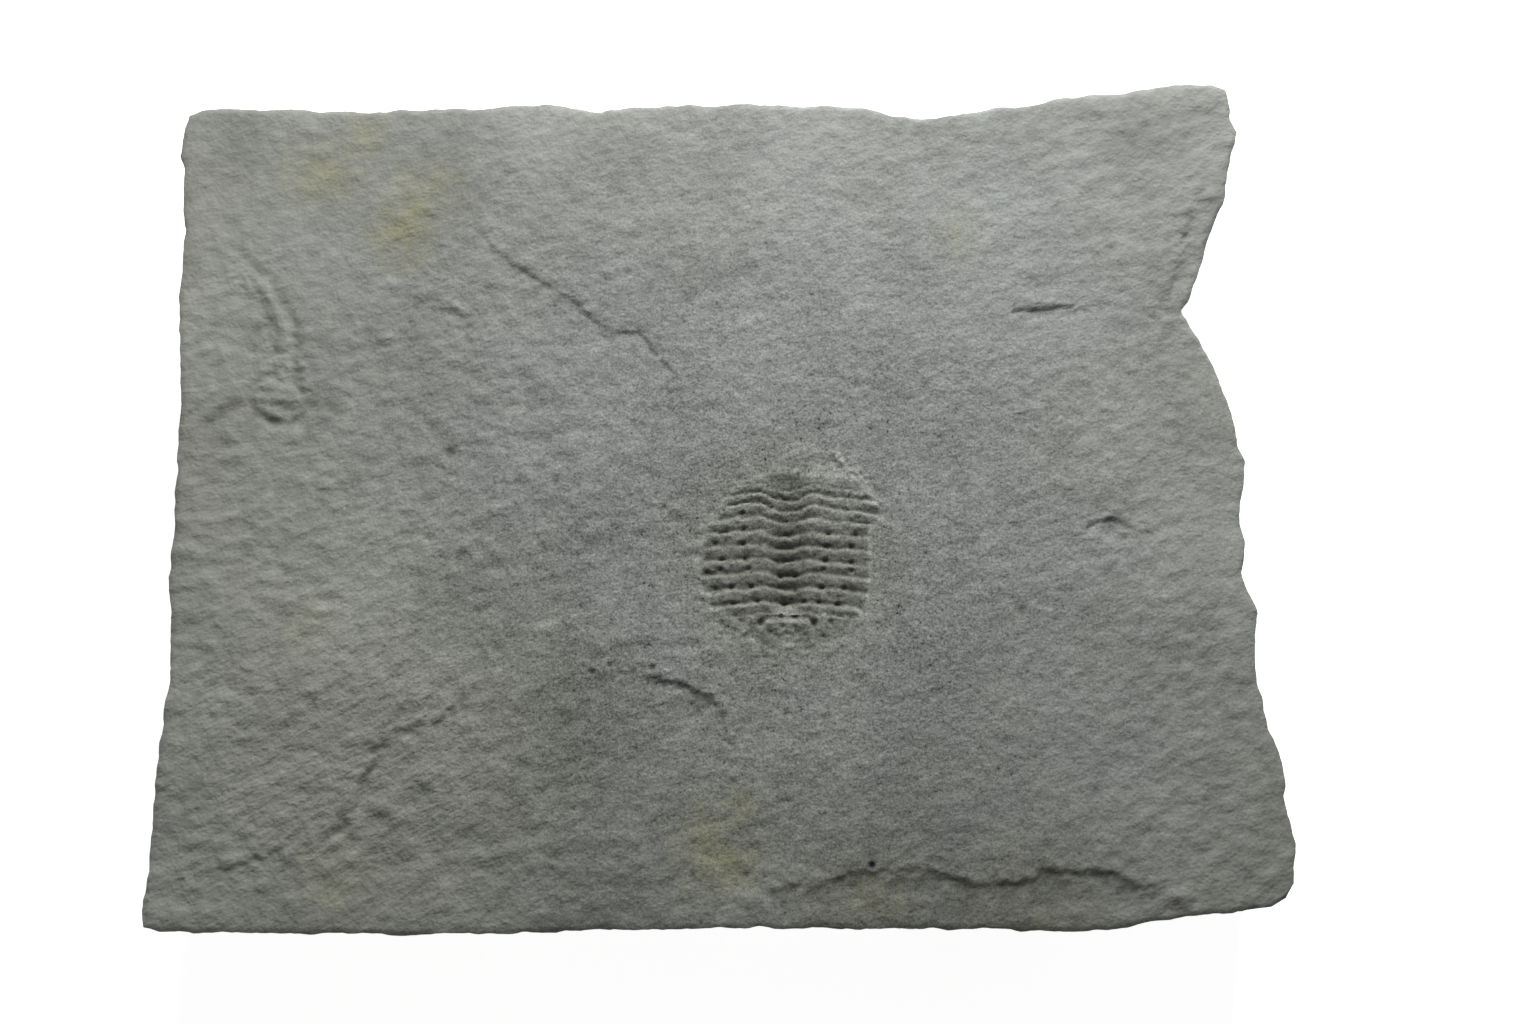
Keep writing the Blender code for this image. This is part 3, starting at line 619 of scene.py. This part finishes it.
@dataclass(frozen=True)
class FossilFace:
    """The slab's upper face: its swells, broken beds, grain and fossils."""

    thickness: float = 14.0
    # height, size and seed of each
    rolls: tuple[tuple[float, float, float], ...] = ((0.35, 30.0, 3.1), (0.2, 9.0, 8.7))
    # where the lumps slant: x, y and radius
    slanting: tuple[float, float, float] = (-28.0, -30.0, 34.0)
    # direction and stretch of the level lumps and of the slanting ones
    combed: tuple[Point, Point] = ((8.0, 1.45), (36.0, 1.8))
    calm_share: float = 0.85
    mould: Mould = Mould()
    stem_fossil: StemFossil = StemFossil()
    ledges: tuple[Ledge, ...] = (
        Ledge(
            BrokenLine((
                (-24.7, 27.4), (-22.7, 25.0), (-20.4, 23.2), (-17.7, 21.7), (-15.6, 20.6),
                (-13.3, 18.4), (-10.9, 16.5), (-7.8, 16.1), (-5.7, 13.6), (-3.5, 11.2),
            )),
            LowSide.RIGHT, drop=0.16, reach=6.0, width=0.17, wander=0.35, gaps=0.8,
        ),
        Ledge(
            BrokenLine((
                (-12.7, -19.15), (-12.0, -18.65), (-9.9, -18.25), (-5.7, -18.95), (-4.1, -19.35),
                (-1.6, -20.35), (0.4, -21.15), (0.7, -22.15), (1.2, -23.35), (2.2, -25.65),
                (2.3, -28.35),
            )),
            LowSide.RIGHT, drop=0.28, reach=7.0, width=0.25, wander=0.5, dirt_and_shade=1.4, shade=1.8,
            gaps=0.6, strongest=0.58,
        ),
        Ledge(
            BrokenLine((
                (5.4, -40.0), (6.4, -39.3), (8.3, -38.6), (10.1, -38.5), (13.1, -37.9),
                (15.4, -37.6), (19.5, -37.2), (21.7, -37.5), (23.0, -38.1), (24.6, -38.5),
                (27.2, -38.5), (30.2, -38.7), (31.6, -37.6), (34.0, -37.4), (38.4, -37.8),
                (41.4, -38.8), (43.6, -39.3), (45.6, -41.2),
            )),
            LowSide.RIGHT, drop=0.24, reach=40.0, width=0.55, wander=0.42, dirt_and_shade=1.35,
            line_shade=0.2, shade=1.1, gaps=0.55, spotty=0.8, taper=0.1,
        ),
        Ledge(
            BrokenLine(((30.5, 18.6), (33.5, 18.7), (35.0, 19.0), (37.0, 19.2))),
            LowSide.RIGHT, drop=0.32, reach=3.5, width=0.2, wander=0.05, dirt_and_shade=1.0, shade=0.5,
            gaps=0.1, spotty=0.2, taper=0.12,
        ),
        Ledge(
            BrokenLine(((37.1, -4.2), (38.9, -3.3), (39.9, -3.1), (42.1, -4.0))),
            LowSide.RIGHT, drop=0.3, reach=2.0, width=0.25, wander=0.2, dirt_and_shade=0.5,
        ),
        Ledge(
            BrokenLine(((-32.2, 20.8), (-27.8, 19.5), (-24.3, 16.2))),
            LowSide.RIGHT, drop=0.1, reach=5.0, width=0.4, wander=0.35, dirt_and_shade=0.3, gaps=0.5,
        ),
        Ledge(
            BrokenLine((
                (-26.0, -22.6), (-28.4, -23.7), (-31.4, -24.2), (-32.8, -25.9), (-34.1, -28.9),
                (-34.9, -31.0), (-35.9, -33.3), (-38.4, -35.5), (-42.2, -35.7), (-45.6, -37.0),
                (-49.6, -38.0), (-53.3, -39.1),
            )),
            LowSide.LEFT, drop=0.4, reach=7.0, width=1.0, wander=0.5, dirt_and_shade=0.32, line_shade=0.5,
            shade=1.6, gaps=0.5, spotty=0.8, taper=0.5, strongest=0.3,
        ),
        Ledge(
            BrokenLine(((50.2, 31.0), (48.6, 26.4), (47.9, 23.8), (47.0, 21.4), (45.2, 18.6))),
            LowSide.LEFT, drop=0.16, reach=20.0, width=0.5, wander=0.4, dirt_and_shade=0.35,
        ),
    )
    swells: tuple[Spot, ...] = (
        (-11.0, -27.5, 11.0, 0.7), (-41.0, -16.0, 13.0, 0.5), (-20.0, 33.0, 14.0, 0.4),
        (22.0, 20.0, 18.0, 0.4), (34.0, -24.0, 16.0, 0.5), (-30.0, 2.0, 15.0, -0.4),
        (20.0, -1.0, 8.0, -0.3),
    )
    pits: tuple[Spot, ...] = (
        (15.4, -37.0, 0.5, 0.35), (-26.8, 3.9, 1.0, 0.25), (30.6, -12.3, 0.8, 0.2),
        (-15.9, 0.9, 0.4, 0.25), (7.2, -22.4, 0.4, 0.25), (3.2, -37.9, 0.5, 0.3),
        (-11.9, -18.5, 0.5, 0.3), (-10.2, -17.8, 0.45, 0.3), (-6.0, -18.1, 0.5, 0.25),
        (-1.7, -37.7, 0.4, 0.25), (35.4, 30.3, 0.4, 0.15),
    )

    def roughness(self, x: Array, y: Array) -> Array:
        """Says how lumpy the stone is: 1 in the near left, less in the middle and the right."""
        away = np.hypot(x + 36.0, y + 22.0)
        return 0.4 + 0.6 * (1.0 - ease((away - 18.0) / 40.0)) + 0.3 * ease((x - 25.0) / 20.0)

    def shape(self, x: Array, y: Array) -> tuple[Array, Array]:
        """Works out the whole upper face.

        Args:
            x: The places' x.
            y: The places' y.

        Returns:
            The height above the underside, and how dark each place is, 0 to 1: painted shade in
            hollows, pits and under ledges, with some dirt at the ledges and the mould's own darker
            tint. It is negative where the stone is drawn lighter.
        """
        flat = places_of(x, y)
        inside = self.mould.inside(x, y)
        calm = 1.0 - self.calm_share * ease(inside + 0.6)
        height = np.full(x.shape, self.thickness)
        for rise, size, seed in self.rolls:
            height += rise * ripple(flat, size, seed)
        for cx, cy, radius, rise in self.swells:
            height += rise * np.exp(-((x - cx) ** 2 + (y - cy) ** 2) / radius**2)
        slant_x, slant_y, slant_reach = self.slanting
        slanting = bump(np.hypot(x - slant_x, y - slant_y) / slant_reach)
        relief = np.zeros_like(x)
        for combing, share in zip(self.combed, (1.0 - slanting, slanting)):
            places = drawn_out(flat, *combing)
            coarse = 0.07 * lumps(places, 2.9, 31.0) + 0.11 * lumps(places, 1.4, 32.0)
            relief += share * (coarse + 0.06 * ripple(places, 0.9, 33.0, 2))
        height += relief * self.roughness(x, y) * calm
        dark = np.zeros_like(x)
        for ledge in self.ledges:
            step, foot = ledge.shape(x, y)
            height += step
            dark = np.maximum(dark, foot)
        # The pits are sunk and darkened with painted shade.
        for cx, cy, radius, depth in self.pits:
            pit = bump(np.hypot(x - cx, y - cy) / radius)
            height -= depth * pit
            dark = np.maximum(dark, pit)
        lightened = np.zeros_like(x)
        for fossil in (self.mould, self.stem_fossil):
            relief, shade = fossil.shape(x, y)
            height += relief
            dark = np.maximum(dark, shade)
            lightened = np.minimum(lightened, shade)
        return height, dark + lightened

    def by_ledge(self, x: Array, y: Array) -> Array:
        """Says which places lie by a ledge or on the small fossil."""
        found = self.stem_fossil.stem.beside(x, y)[0] < 2.0
        for ledge in self.ledges:
            found |= ledge.line.beside(x, y)[0] < 1.3
        knob = self.stem_fossil.knob_centre
        return found | (np.hypot(x - knob[0], y - knob[1]) < 3.2)

    def on_mould(self, x: Array, y: Array) -> Array:
        """Says which places lie on the trilobite or its spine."""
        return (self.mould.inside(x, y) > -0.6) | (self.mould.spine.beside(x, y)[0] < 0.9)


@dataclass(frozen=True)
class Siltstone:
    """The slab's finish: dull grey siltstone with salt-and-pepper grain and a few rusty stains."""

    cool: Colour = (0.208, 0.217, 0.207)
    warm: Colour = (0.210, 0.217, 0.190)
    stain: Colour = (0.205, 0.200, 0.120)
    # The dark olive mixed in by the mesh's attribute: painted shade in hollows, under ledges and in
    # pits, and the mould's own darker tint.
    dirt_and_shade: Colour = (0.050, 0.051, 0.036)
    ink: Colour = (0.012, 0.013, 0.030)
    ink_spot: Spot = (15.4, -37.0, 0.6, 0.9)
    slanting_spot: Spot = (-34.0, -26.0, 36.0, 1.0)
    grainy_spot: Spot = (8.0, -8.0, 66.0, 1.2)
    lightening: float = 0.55
    dirt_and_shade_cover: float = 0.85
    gloss: float = 0.25
    # the bumps' heights: the sides' beds, grains, flecks, patches, slanting lumps
    rises: tuple[float, ...] = (0.35, 0.02, 0.045, 0.18, 0.3)
    stains: tuple[Spot, ...] = (
        (-32.8, 26.8, 5.0, 0.95), (-29.9, 31.7, 6.0, 0.65), (-40.5, 33.9, 6.5, 0.65),
        (-37.0, 38.3, 4.0, 0.45), (0.7, -35.4, 6.5, 0.75), (-35.7, -38.4, 6.0, 0.4),
        (-41.0, -13.3, 5.0, 0.35), (14.0, -41.4, 8.0, 0.5), (30.0, -41.4, 9.0, 0.4),
        (24.8, 26.8, 4.0, 0.3), (3.0, -31.5, 2.5, 0.4),
    )
    warmths: tuple[Spot, ...] = (
        (12.0, 12.0, 66.0, -0.8), (30.0, -25.0, 30.0, -0.25), (-30.0, -26.0, 26.0, 0.5),
        (7.0, -6.5, 14.0, 1.3),
    )
    tones: tuple[Spot, ...] = (
        (-45.0, -30.0, 38.0, 0.16), (48.0, 2.0, 30.0, 0.12), (-4.0, -28.0, 20.0, -0.14),
        (22.0, -41.0, 22.0, -0.2), (24.0, -9.0, 22.0, -0.1), (15.0, 9.5, 9.0, -0.08),
        (28.0, 5.0, 8.0, -0.12), (32.0, -1.5, 6.0, -0.12), (0.0, 1.0, 13.0, -0.12),
        (-54.0, 12.0, 26.0, 0.2), (-41.0, 31.0, 18.0, -0.1), (-18.0, -14.0, 18.0, -0.12),
        (-44.8, 14.0, 9.0, -0.14), (-11.0, -20.5, 9.0, -0.1), (-34.0, -31.0, 10.0, -0.08),
        (26.0, -27.0, 11.0, 0.1),
    )

    def build(self) -> bpy.types.Material:
        """Makes the material's nodes, on Object coordinates and the mesh's two attributes."""
        material = bpy.data.materials.new("grey_siltstone")
        material.use_nodes = True
        sheet = NodeSheet(material.node_tree)
        shader = sheet.tree.nodes["Principled BSDF"]
        place = sheet.add("ShaderNodeTexCoord").outputs["Object"]
        combed = sheet.drawn_out(place, 20.0, (1.25, 1.0, 1.0))
        beds = sheet.noise(sheet.drawn_out(place, 0.0, (18.0, 18.0, 1.0)), 1.0, 3)
        broad = sheet.noise(place, 20.0, 3)
        mottle = sheet.noise(place, 4.0, 4)
        patch = sheet.noise(combed, 1.3, 2)
        fleck = sheet.noise(place, 0.42, 2)
        grain = sheet.noise(place, 0.2, 1)
        warmth = sheet.sum((
            sheet.span(broad, 0.35, 0.65, 0.55, 0.95),
            *(sheet.spot(place, *spot) for spot in self.warmths),
        ))
        colour = sheet.mix(warmth, self.cool, self.warm)
        rusty = sheet.sum([sheet.spot(place, *stain) for stain in self.stains])
        rusty = sheet.maths("MULTIPLY", rusty, sheet.span(mottle, 0.32, 0.62, 0.1, 1.0))
        colour = sheet.mix(rusty, colour, self.stain)
        sandy = sheet.sum((
            sheet.span(fleck, 0.25, 0.75, -0.2, 0.2), sheet.span(grain, 0.25, 0.75, -0.34, 0.34),
            sheet.span(fleck, 0.36, 0.28, 0.0, -0.3),
        ))
        sandy = sheet.maths("MULTIPLY", sandy, sheet.spot(place, *self.grainy_spot))
        dirt_and_shade, on_side = sheet.attribute("dirt_and_shade"), sheet.attribute("side")
        banded = sheet.maths("MULTIPLY", on_side, sheet.span(beds, 0.35, 0.65, -0.34, 0.04))
        light = sheet.sum((
            sandy, banded, sheet.span(dirt_and_shade, -1.0, 0.0, self.lightening, 0.0),
            sheet.span(broad, 0.3, 0.7, 1.05, 0.95), sheet.span(mottle, 0.25, 0.75, -0.12, 0.12),
            sheet.span(patch, 0.25, 0.75, -0.12, 0.12), sheet.span(beds, 0.3, 0.7, -0.1, 0.1),
            *(sheet.spot(place, *tone) for tone in self.tones),
        ))
        colour = sheet.scaled(colour, light)
        # Mixes in the dark olive from the mesh's attribute: painted shade, with the mould's darker
        # tint.
        colour = sheet.mix(sheet.span(dirt_and_shade, 0.0, 1.0, 0.0, self.dirt_and_shade_cover), colour, self.dirt_and_shade)
        colour = sheet.mix(sheet.spot(place, *self.ink_spot), colour, self.ink)
        sheet.link(colour, shader.inputs["Base Color"])
        sheet.link(sheet.span(patch, 0.2, 0.8, 0.82, 0.96), shader.inputs["Roughness"])
        shader.inputs["Specular IOR Level"].default_value = self.gloss
        slanting = sheet.noise(sheet.drawn_out(place, 36.0, (1.7, 1.0, 1.0)), 1.5, 3)
        slanting = sheet.maths("MULTIPLY", slanting, sheet.spot(place, *self.slanting_spot))
        layers = sheet.maths("MULTIPLY", beds, on_side)
        normal = None
        for relief, rise in zip((layers, grain, fleck, patch, slanting), self.rises):
            normal = sheet.bump(relief, rise, normal)
        sheet.link(normal, shader.inputs["Normal"])
        return material


@dataclass
class NodeSheet:
    """A material's node tree, with short ways to add and join its nodes."""

    tree: bpy.types.NodeTree

    def add(self, kind: str, **settings: object) -> bpy.types.Node:
        """Adds a node and sets its properties."""
        node = self.tree.nodes.new(kind)
        for name, value in settings.items():
            setattr(node, name, value)
        return node

    def attribute(self, name: str) -> Socket:
        """Reads one of the mesh's attributes."""
        return self.add("ShaderNodeAttribute", attribute_name=name).outputs["Fac"]

    def link(self, source: Socket, target: Socket) -> None:
        """Joins an output to an input."""
        self.tree.links.new(source, target)

    def noise(self, place: Socket, size: float, detail: int) -> Socket:
        """Adds smooth noise.

        Args:
            place: The coordinates that it follows, in metres.
            size: How far apart its patches are, in millimetres.
            detail: How many finer layers it has.

        Returns:
            The noise, about 0.25 to 0.75.
        """
        node = self.add("ShaderNodeTexNoise")
        self.link(place, node.inputs["Vector"])
        node.inputs["Scale"].default_value = 1.0 / (size * MM)
        node.inputs["Detail"].default_value = detail
        node.inputs["Roughness"].default_value = 0.6
        return node.outputs["Fac"]

    def span(
        self, value: Socket, low: float, high: float, start: float = 0.0, end: float = 1.0
    ) -> Socket:
        """Spreads the values from low to high over start to end, and holds those beyond."""
        node = self.add("ShaderNodeMapRange")
        self.link(value, node.inputs["Value"])
        ends = {"From Min": low, "From Max": high, "To Min": start, "To Max": end}
        for name, number in ends.items():
            node.inputs[name].default_value = number
        return node.outputs["Result"]

    def drawn_out(self, place: Socket, degrees: float, stretch: tuple[float, ...]) -> Socket:
        """Turns and squeezes coordinates, so that a pattern is drawn out along some directions."""
        node = self.add("ShaderNodeMapping", vector_type="TEXTURE")
        self.link(place, node.inputs["Vector"])
        node.inputs["Rotation"].default_value = (0.0, 0.0, math.radians(degrees))
        node.inputs["Scale"].default_value = stretch
        return node.outputs["Vector"]

    def spot(self, place: Socket, x: float, y: float, radius: float, strength: float) -> Socket:
        """Marks a soft round spot on the slab's face.

        Args:
            place: The Object coordinates.
            x: The spot's middle, in millimetres.
            y: The same, along Y.
            radius: Where the spot has faded out, in millimetres.
            strength: Its value in the middle.

        Returns:
            The strength at each place.
        """
        away = self.add("ShaderNodeVectorMath", operation="DISTANCE")
        self.link(place, away.inputs[0])
        away.inputs[1].default_value = (x * MM, y * MM, FossilFace.thickness * MM)
        return self.span(away.outputs["Value"], radius * MM, 0.2 * radius * MM, 0.0, strength)

    def maths(self, operation: str, first: Socket, second: Socket) -> Socket:
        """Joins two values by a Math operation."""
        node = self.add("ShaderNodeMath", operation=operation)
        self.link(first, node.inputs[0])
        self.link(second, node.inputs[1])
        return node.outputs["Value"]

    def sum(self, values: tuple[Socket, ...] | list[Socket]) -> Socket:
        """Adds values up."""
        total = values[0]
        for value in values[1:]:
            total = self.maths("ADD", total, value)
        return total

    def scaled(self, colour: Socket, by: Socket) -> Socket:
        """Makes a colour lighter or darker."""
        node = self.add("ShaderNodeVectorMath", operation="SCALE")
        self.link(colour, node.inputs[0])
        self.link(by, node.inputs["Scale"])
        return node.outputs["Vector"]

    def mix(self, share: Socket, first: Socket | Colour, second: Socket | Colour) -> Socket:
        """Mixes two colours.

        Args:
            share: The share of the second colour, 0 to 1.
            first: A colour, or an output that gives one.
            second: The same.

        Returns:
            The mixed colour.
        """
        node = self.add("ShaderNodeMix", data_type="RGBA")
        self.link(share, node.inputs["Factor"])
        for name, colour in (("A", first), ("B", second)):
            socket = next(s for s in node.inputs if s.name == name and s.type == "RGBA")
            if isinstance(colour, tuple):
                socket.default_value = (*colour, 1.0)
            else:
                self.link(colour, socket)
        return next(s for s in node.outputs if s.type == "RGBA")

    def bump(self, height: Socket, rise: float, normal: Socket | None) -> Socket:
        """Adds fine relief.

        Args:
            height: The relief, 0 to 1.
            rise: The height of the relief in millimetres.
            normal: Relief that this one is laid over, if any.

        Returns:
            The surface's new direction.
        """
        node = self.add("ShaderNodeBump")
        node.inputs["Distance"].default_value = rise * MM
        self.link(height, node.inputs["Height"])
        if normal is not None:
            self.link(normal, node.inputs["Normal"])
        return node.outputs["Normal"]


@dataclass
class Slab:
    """The slab as one closed mesh: a sheet that is extruded, divided, and broken into shape."""

    outline: Outline = Outline()
    face: FossilFace = FossilFace()
    finish: Siltstone = Siltstone()
    columns: int = 118
    rows: int = 91
    side_cuts: int = 8
    rim: float = 0.16
    foot: float = 1.2
    bed_relief: float = 0.55
    hollow: float = 0.55
    grain_size: float = 0.9
    grain_height: float = 0.07
    clearance: float = 0.35
    smooth_angle: float = 60.0
    grades: int = 10
    slack: float = 0.0001

    def build(self) -> bpy.types.Object:
        """Models and dresses the slab.

        Returns:
            The finished piece, which stands for the frame's slab.
        """
        piece = self.block_out()
        self.divide()
        self.break_into_shape(piece)
        self.roughen(piece)
        self.dress(piece)
        return piece

    def block_out(self) -> bpy.types.Object:
        """Adds the flat sheet and extrudes it down to a closed block, one unit each way."""
        bpy.ops.object.select_all(action="DESELECT")
        bpy.ops.mesh.primitive_grid_add(
            x_subdivisions=self.columns, y_subdivisions=self.rows, size=1.0,
            location=(0.5, 0.5, 0.0),
        )
        piece = bpy.context.object
        piece.name = piece.data.name = "siltstone_slab"
        bpy.ops.object.transform_apply(location=True, rotation=False, scale=False)
        bpy.ops.object.mode_set(mode="EDIT")
        bpy.ops.mesh.select_all(action="SELECT")
        bpy.ops.mesh.extrude_region_move(TRANSFORM_OT_translate={"value": (0.0, 0.0, -1.0)})
        bpy.ops.mesh.select_all(action="SELECT")
        bpy.ops.mesh.normals_make_consistent(inside=False)
        bpy.ops.object.mode_set(mode="OBJECT")
        return piece

    def select(self, element: Element, wanted: Callable[[Array], Array]) -> None:
        """Selects edges or faces in edit mode.

        Args:
            element: What to select.
            wanted: Takes the elements' middles, one row each, and says which are wanted.
        """
        bpy.ops.mesh.select_mode(type=element.value)
        bpy.ops.mesh.select_all(action="DESELECT")
        mesh = bpy.context.object.data
        sheet = bmesh.from_edit_mesh(mesh)
        if element is Element.FACES:
            parts = list(sheet.faces)
            middles = np.array([part.calc_center_median() for part in parts])
        else:
            parts = list(sheet.edges)
            middles = np.array([(part.verts[0].co + part.verts[1].co) / 2.0 for part in parts])
        for part, yes in zip(parts, wanted(middles)):
            part.select_set(bool(yes))
        sheet.select_flush_mode()
        bmesh.update_edit_mesh(mesh)

    def divide(self) -> None:
        """Divides the sides into beds, then all but the underside, the mould, and the ledges."""

        def upper(middles: Array) -> Array:
            """Takes what lies on the face."""
            return middles[:, 2] > -self.slack

        def seen(middles: Array) -> Array:
            """Takes all but the underside."""
            return middles[:, 2] > self.slack - 1.0

        def mould(middles: Array) -> Array:
            """Takes what lies on the trilobite."""
            x, y = self.outline.place(middles[:, 0], middles[:, 1])
            return upper(middles) & self.face.on_mould(x, y)

        def ledges(middles: Array) -> Array:
            """Takes what lies by a ledge or on the small fossil."""
            x, y = self.outline.place(middles[:, 0], middles[:, 1])
            return upper(middles) & self.face.by_ledge(x, y) & ~self.face.on_mould(x, y)

        bpy.ops.object.mode_set(mode="EDIT")
        self.select(Element.EDGES, lambda middles: np.abs(middles[:, 2] + 0.5) < 0.4)
        bpy.ops.mesh.subdivide(number_cuts=self.side_cuts)
        self.select(Element.FACES, seen)
        bpy.ops.mesh.subdivide(number_cuts=1)
        self.select(Element.FACES, mould)
        bpy.ops.mesh.subdivide(number_cuts=2)
        self.select(Element.FACES, ledges)
        bpy.ops.mesh.subdivide(number_cuts=1)
        bpy.ops.mesh.select_all(action="DESELECT")
        bpy.ops.object.mode_set(mode="OBJECT")

    def break_into_shape(self, piece: bpy.types.Object) -> None:
        """Moves every vertex from the divided block to its place on the broken slab.

        Args:
            piece: The divided block.
        """
        mesh = piece.data
        block = np.empty(len(mesh.vertices) * 3)
        mesh.vertices.foreach_get("co", block)
        u, v, deep = block.reshape(-1, 3).T
        deep = -deep
        u = self.outline.crowd(u, self.outline.length)
        v = self.outline.crowd(v, self.outline.depth)
        x, y = self.outline.place(u, v, deep * self.face.thickness)
        height, dirt_and_shade = self.face.shape(x, y)
        flat = places_of(x, y)
        edge = self.outline.margins(u, v).min(axis=0)
        worn = 1.0 + 0.6 * ripple(flat, 5.0, 41.0, 2)
        height -= self.rim * worn * (1.0 - ease(edge / (1.8 * self.rim)))
        under = np.clip(0.1 + 0.3 * ripple(flat, 9.0, 42.0, 4), 0.0, self.clearance)
        z = height + (under - height) * deep
        out = self.side(np.stack([x, y, z], axis=1), height, deep)
        reach = np.where(deep > 0.5, 6.0, 1.2)
        x, y = np.stack([x, y]) + out * self.outline.outward(u, v, 1.0) * (edge < reach)
        placed = np.stack([x, y, z], axis=1) * MM
        mesh.vertices.foreach_set("co", placed.ravel())
        mesh.update()
        on_face = deep < 0.001
        # The face's painted shade and tint, with the lighter lines as negatives, go to one
        # attribute.
        for name, values in (("dirt_and_shade", dirt_and_shade * on_face), ("side", ~on_face)):
            layer = mesh.attributes.new(name, "FLOAT", "POINT")
            layer.data.foreach_set("value", values.astype(np.float32))
        group = piece.vertex_groups.new(name="open_stone")
        inside = self.face.mould.inside(x, y)
        weights = (deep < 0.98) * (1.0 - 0.8 * ease(inside + 1.0) * on_face)
        for grade in range(1, self.grades + 1):
            chosen = np.flatnonzero(np.round(weights * self.grades) == grade)
            if len(chosen):
                group.add(chosen.tolist(), grade / self.grades, "REPLACE")

    def side(self, places: Array, top: Array, deep: Array) -> Array:
        """Says how far the broken sides stand out from the outline.

        Args:
            places: One row of x, y, z for each vertex.
            top: The face's height there.
            deep: The share of the way from the face down to the underside.

        Returns:
            The distance outwards, negative where the side is hollow.
        """
        below = top - places[:, 2]
        beds = places * np.array((0.08, 0.08, 1.0))
        layered = self.bed_relief * (ripple(beds, 2.2, 51.0) + 0.7 * ripple(beds, 0.9, 52.0))
        broken = 0.35 * ripple(places, 3.5, 53.0, 3)
        on_side = ease(below / 0.8)
        rim = -0.2 * self.rim * (1.0 - on_side)
        foot = -self.foot * (1.0 - ease(places[:, 2] / 1.4)) * (deep > 0.5)
        return rim + foot + on_side * (layered + broken - self.hollow)

    def roughen(self, piece: bpy.types.Object) -> None:
        """Adds fine grain with a Displace modifier, and applies it.

        Args:
            piece: The broken slab.
        """
        texture = bpy.data.textures.new("siltstone_grain", "CLOUDS")
        texture.noise_scale = self.grain_size * MM
        texture.noise_depth = 2
        modifier = piece.modifiers.new("grain", "DISPLACE")
        modifier.texture = texture
        modifier.texture_coords = "LOCAL"
        modifier.vertex_group = "open_stone"
        modifier.strength = self.grain_height * MM
        modifier.mid_level = 0.5
        bpy.ops.object.select_all(action="DESELECT")
        piece.select_set(True)
        bpy.context.view_layer.objects.active = piece
        bpy.ops.object.modifier_apply(modifier=modifier.name)
        piece.vertex_groups.clear()
        bpy.ops.object.shade_smooth_by_angle(angle=math.radians(self.smooth_angle))

    def dress(self, piece: bpy.types.Object) -> None:
        """Gives the slab its finish, and its place in the frame."""
        piece.data.materials.append(self.finish.build())
        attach(piece, "root")
        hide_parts("fossil_slab")


@dataclass
class Studio:
    """The pale floor, the soft light from beyond the slab, and the camera above it."""

    top: float = 14.0
    camera_place: tuple[float, float, float] = (5.4, -29.12, 162.2)
    camera_dip: float = 79.8
    lens: float = 35.156
    light_place: tuple[float, float, float] = (25.0, 195.0, 110.0)
    light_size: float = 130.0
    light_power: float = 1.1
    sky: float = 0.15
    floor_size: float = 3.0
    floor_tone: float = 0.9
    floor_roughness: float = 0.8
    floor_glow: float = 0.85
    sensor: float = 36.0
    nearest: float = 5.0

    def build(self) -> None:
        """Sets up the whole studio."""
        self.lay_floor()
        self.hang_light()
        self.set_camera()
        bpy.context.scene.view_settings.view_transform = "Standard"

    def lay_floor(self) -> None:
        """Lays the pale floor, which glows a little, like a light table."""
        bpy.ops.object.select_all(action="DESELECT")
        bpy.ops.mesh.primitive_plane_add(size=self.floor_size, location=(0.0, 0.0, 0.0))
        floor = bpy.context.object
        floor.name = "pale_floor"
        material = bpy.data.materials.new("pale_floor")
        material.use_nodes = True
        shader = material.node_tree.nodes["Principled BSDF"]
        shader.inputs["Base Color"].default_value = (*(self.floor_tone,) * 3, 1.0)
        shader.inputs["Roughness"].default_value = self.floor_roughness
        shader.inputs["Emission Color"].default_value = (1.0, 1.0, 1.0, 1.0)
        shader.inputs["Emission Strength"].default_value = self.floor_glow
        floor.data.materials.append(material)

    def hang_light(self) -> None:
        """Hangs one soft light beyond the far edge, a little to the right, and dims the sky."""
        lamp = bpy.data.lights.new("soft_light", "AREA")
        lamp.size = self.light_size * MM
        lamp.energy = self.light_power
        holder = bpy.data.objects.new("soft_light", lamp)
        bpy.context.scene.collection.objects.link(holder)
        holder.location = Vector(self.light_place) * MM
        aim = Vector((0.0, 0.0, self.top * MM)) - holder.location
        holder.rotation_euler = aim.to_track_quat("-Z", "Y").to_euler()
        holder.visible_camera = False
        world = bpy.data.worlds.new("studio")
        world.use_nodes = True
        background = world.node_tree.nodes["Background"]
        background.inputs["Color"].default_value = (1.0, 1.0, 1.0, 1.0)
        background.inputs["Strength"].default_value = self.sky
        bpy.context.scene.world = world

    def set_camera(self) -> None:
        """Sets the camera above the near half of the slab, looking down and a little away."""
        data = bpy.data.cameras.new("camera")
        data.lens = self.lens
        data.sensor_width = self.sensor
        data.clip_start = self.nearest * MM
        camera = bpy.data.objects.new("camera", data)
        bpy.context.scene.collection.objects.link(camera)
        camera.location = Vector(self.camera_place) * MM
        camera.rotation_euler = (math.radians(90.0 - self.camera_dip), 0.0, 0.0)
        bpy.context.scene.camera = camera


def main() -> None:
    """Builds the slab and the studio, and reports each piece."""
    logging.basicConfig(level=logging.INFO, format="%(message)s")
    piece = Slab().build()
    mesh = piece.data
    LOG.info("%s: %d vertices, %d faces", piece.name, len(mesh.vertices), len(mesh.polygons))
    Studio().build()
    LOG.info("studio: floor, light and camera")


if __name__ == "__main__":
    main()
